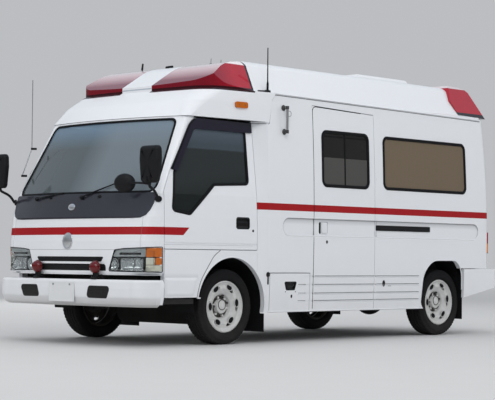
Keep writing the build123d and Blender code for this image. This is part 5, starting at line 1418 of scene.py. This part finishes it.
def makeWheelFaces():
    for end, axleX, side, hand in wheels:
        def face(radius, degrees, y):
            t = math.radians(degrees)
            out = (math.cos(t), 0, math.sin(t))
            mid = (axleX + radius * out[0], side * y, wheelFace["z"] + radius * out[2])
            return flatPlace(mid, out, (-out[2], 0, out[0]), (0, side, 0))

        holes, rings, nuts = [], [], []
        line = ellipseLine(0, 0, *wheelFace["slot"], 28)
        wide, thin = wheelFace["nutRadii"]
        for turn in range(0, 360, 60):
            place = face(wheelFace["slotRing"], wheelFace["slotTurn"] + turn, wheelFace["slotY"])
            holes.append(mould(line, wheelFace["hollow"], place))
            rings.append(rim(line, wheelFace["slotRim"], place))
            place = face(wheelFace["nutRing"], wheelFace["nutTurn"] + turn, wheelFace["nutY"])
            nuts += [lump(place, 0, 0, wide, wide, 6, *wheelFace["nut"]),
                     lump(place, 0, 0, thin, thin, 12, *wheelFace["stud"])]
        cap = [(r, side * out) for r, out in wheelFace["cap"]]
        nuts.append(revolve(cap, (axleX, side * wheelFace["capY"], wheelFace["z"]), "y", 40))
        for name, made, key in (("hollows", holes, "sealRubber"), ("edges", rings, "rimEdgeSteel"),
                                ("nuts", nuts, "castMetal")):
            makePiece(f"rim_{name}_{end}_{hand}", made, key, f"wheel_{end}_{hand}")


def makeFlaps():
    parts = []
    for side in (1, -1):
        for x, y0, y1, z0, z1 in flaps["boxes"]:
            ring = [(side * y0, z0), (side * y1, z0), (side * y1, z1), (side * y0, z1)]
            parts.append(skinned(crossPlane(ring, (x, x + flaps["thick"]))))
    makePiece("lower_flaps", parts, "sealRubber", "root", smooth=False)


makeWheelFaces()
makeFlaps()
print("stage: wheel faces")

visorEdge = ((2.096, 1.452), (1.852, 1.840), (1.782, 1.888), (1.120, 1.888))


def makeVisorTrims():
    for side, hand in sides:
        trim = tube(lineOn(onSide(side), visorEdge, 0.007, 0.04, 8), 0.0065, 8)
        makePiece(f"visor_trim_{hand}", [trim], "glossBlack", f"door_{hand}")


makeVisorTrims()

# aerials: the mast on the left front corner, two domes with rods, a stub, a block, and one on the pillar
aerials = {
    "mast": (0.940, 0.895, 2.1655), "mastFoot": (-0.030, 0.030, -0.014, 0.014),
    "mastRises": (0.015, 0.08, 0.10, 0.3905), "mastRadii": (0.010, 0.010, 0.006, 0.0045),
    "lead": ((0.115, -0.006, 0.008), (0.01, 0, 0.012)), "domes": ((0.720, -0.020), (0.590, -0.020)),
    "dome": ((0, 0), (0.030, 0.0), (0.030, 0.012), (0.024, 0.028), (0.012, 0.038), (0.004, 0.040),
        (0, 0.040)), "rodTop": 2.5545, "rodLean": 0.004, "stub": (1.285, -0.330),
    "block": (1.185, 1.245, -0.075, -0.025), "stubPath": ((0, 0, 0), (0.002, 0, 0.03), (-0.006, 0, 0.085)),
    "stubRadii": (0.011, 0.010, 0.008),
    "pillar": ((2.100, -0.880, 2.297), (2.100, -0.880, 1.684), (2.195, -0.893, 1.440)),
    "clamp": ((-0.03, 0.03, 0), (0.006, -0.006, 0)),
}


def makeAerials():
    x, y, low = aerials["mast"]
    mast = [(x, y, low + rise) for rise in aerials["mastRises"]]
    foot = flatPlace((x, y, low), (1, 0, 0), (0, 1, 0), (0, 0, 1))
    parts = [slab(foot, aerials["mastFoot"], 0.008, (0, 0), (0, 0.016), (0.004, 0.022)),
             tube(mast, aerials["mastRadii"], 12), tube(np.add(aerials["lead"], (x, y, low)), 0.0065, 8)]
    for a, b in aerials["domes"]:
        base = onRoof(a, b, -0.004)
        rod = [base + (0, 0, 0.036), (base[0] - aerials["rodLean"], base[1], aerials["rodTop"])]
        parts += [revolve(aerials["dome"], base, "z", 28), tube(rod, 0.0022, 6)]
    parts.append(tube(onRoof(*aerials["stub"], -0.006) + aerials["stubPath"], aerials["stubRadii"], 10))
    parts.append(slab(onRoof, aerials["block"], 0.008, (0, -0.008), (0, 0.016), (0.006, 0.022)))
    piece = makePiece("roof_aerials", parts, "glossBlack", "root")
    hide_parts("antennas")
    rod = aerials["pillar"]
    parts = [tube(rod[:2], 0.0035, 8), tube(rod[1:], 0.005, 8)]
    makePiece("pillar_aerial", parts, "railSteel", "root")
    parts = [tube(np.add(aerials["clamp"], point), 0.010, 8) for point in rod[1:]]
    makePiece("pillar_aerial_clamps", parts, "blackPlastic", "root")


makeAerials()
print("stage: aerials")

# camera: place in metres, angles in degrees, lens in millimetres
view = {
    "place": (11.3908, 10.5757, 0.7216), "yaw": 223.4757, "pitch": 2.0541, "roll": 0.5049, "lens": 119.83,
}


def makeCamera():
    yaw, pitch, roll = (math.radians(view[k]) for k in ("yaw", "pitch", "roll"))
    ahead = Vector((math.cos(yaw) * math.cos(pitch), math.sin(yaw) * math.cos(pitch), math.sin(pitch)))
    level = ahead.cross(Vector((0, 0, 1))).normalized()
    top = level.cross(ahead)
    right = level * math.cos(roll) + top * math.sin(roll)
    up = level * -math.sin(roll) + top * math.cos(roll)
    data = bpy.data.cameras.new("mainCamera")
    data.lens, data.sensor_width, data.sensor_fit = view["lens"], 36.0, "HORIZONTAL"
    data.clip_end = 400
    camera = bpy.data.objects.new("mainCamera", data)
    camera.matrix_world = Matrix((*zip(right, up, -ahead, view["place"]), (0, 0, 0, 1)))
    bpy.context.scene.collection.objects.link(camera)
    bpy.context.scene.camera = camera


# lamps: name, place, power, size; the sky's colours are those seen, those that light and those that reflect
light = {
    "sky": 0.60, "backdrop": (0.50, 0.51, 0.53), "skyColour": (0.93, 0.96, 1.0), "aim": (0, 0, 1.0),
    "yard": (0.09, 0.09, 0.085), "nearSky": (0.40, 0.44, 0.48), "highSky": (0.46, 0.56, 0.70),
    "horizon": (0.192, 0.212), "rise": (0.25, 0.85),
    "lamps": (("keyLamp", (6.5, 8.0, 9.0), 435.0, 7.0), ("fillLamp", (-9.0, 8.0, 5.0), 230.0, 7.0),
        ("backLamp", (-6.0, -10.0, 6.0), 320.0, 7.0), ("noseLamp", (11.0, -3.0, 4.0), 180.0, 6.0),
        ("topLamp", (0.5, 0.0, 11.0), 205.0, 6.0)), "reflected": ("keyLamp",),
}


def makeLight():
    for name, place, power, size in light["lamps"]:
        data = bpy.data.lights.new(name, "AREA")
        data.energy, data.size, data.shape = power, size, "DISK"
        lamp = bpy.data.objects.new(name, data)
        lamp.location = place
        lamp.visible_glossy = name in light["reflected"]
        lamp.rotation_euler = (Vector(light["aim"]) - Vector(place)).to_track_quat("-Z", "Y").to_euler()
        bpy.context.scene.collection.objects.link(lamp)
    world = bpy.data.worlds.new("paleSky")
    bpy.context.scene.world = world
    world.use_nodes = True
    tree = world.node_tree
    path = tree.nodes.new("ShaderNodeLightPath").outputs
    seen, glossy = (Value(tree, path[f"Is {kind} Ray"]) for kind in ("Camera", "Glossy"))
    seen = greater(seen, path["Is Transmission Ray"])
    height = splitUp(tree, tree.nodes.new("ShaderNodeTexCoord").outputs["Generated"])[2]
    mirrored = mixColour(tree, ramp(height, *light["rise"]), light["nearSky"], light["highSky"])
    mirrored = mixColour(tree, ramp(height, *light["horizon"]), light["yard"], mirrored)
    colour = mixColour(tree, glossy, light["skyColour"], mirrored)
    back = tree.nodes["Background"]
    plug(tree, back.inputs["Color"], over(colour, seen, light["backdrop"]))
    plug(tree, back.inputs["Strength"], greater(seen, glossy) * (1 - light["sky"]) + light["sky"])


ground = {
    "colour": (0.62, 0.62, 0.62), "shade": 0.96, "roughness": 0.9, "specular": 0.1, "cloud": (3.0, 6.0),
    "fade": (5.0, 35.0), "radius": 180, "sides": 96,
}


def makeGround():
    # a wide disc that turns from pale grey under the van to the colour of the backdrop far off
    material, tree, shader = startMaterial("paleGround")
    vector, xyz = objectCoords(tree)
    cloud = noise(tree, vector, *ground["cloud"])
    shade = mixColour(tree, cloud, [c * ground["shade"] for c in ground["colour"]], ground["colour"])
    plugAll(tree, shader, {"Base Color": shade, "Roughness": ground["roughness"],
                           "Specular IOR Level": ground["specular"]})
    glow = tree.nodes.new("ShaderNodeEmission")
    plug(tree, glow.inputs["Color"], light["backdrop"])
    mix = tree.nodes.new("ShaderNodeMixShader")
    far = ramp(rootOf(xyz[0] ** 2.0 + xyz[1] ** 2.0), *ground["fade"])
    for socket, value in zip(mix.inputs, (far, shader.outputs[0], glow.outputs[0])):
        plug(tree, socket, value)
    tree.links.new(mix.outputs[0], tree.nodes["Material Output"].inputs["Surface"])
    mesh = bpy.data.meshes.new("ground")
    line = ellipseLine(0, 0, ground["radius"], ground["radius"], ground["sides"])
    mesh.from_pydata([(x, y, 0) for x, y in line], [], [tuple(range(len(line)))])
    mesh.materials.append(material)
    disc = bpy.data.objects.new("ground", mesh)
    bpy.context.scene.collection.objects.link(disc)


makeCamera()
makeLight()
makeGround()
bpy.context.scene.view_settings.view_transform = "Standard"
print("stage: camera, light and ground")
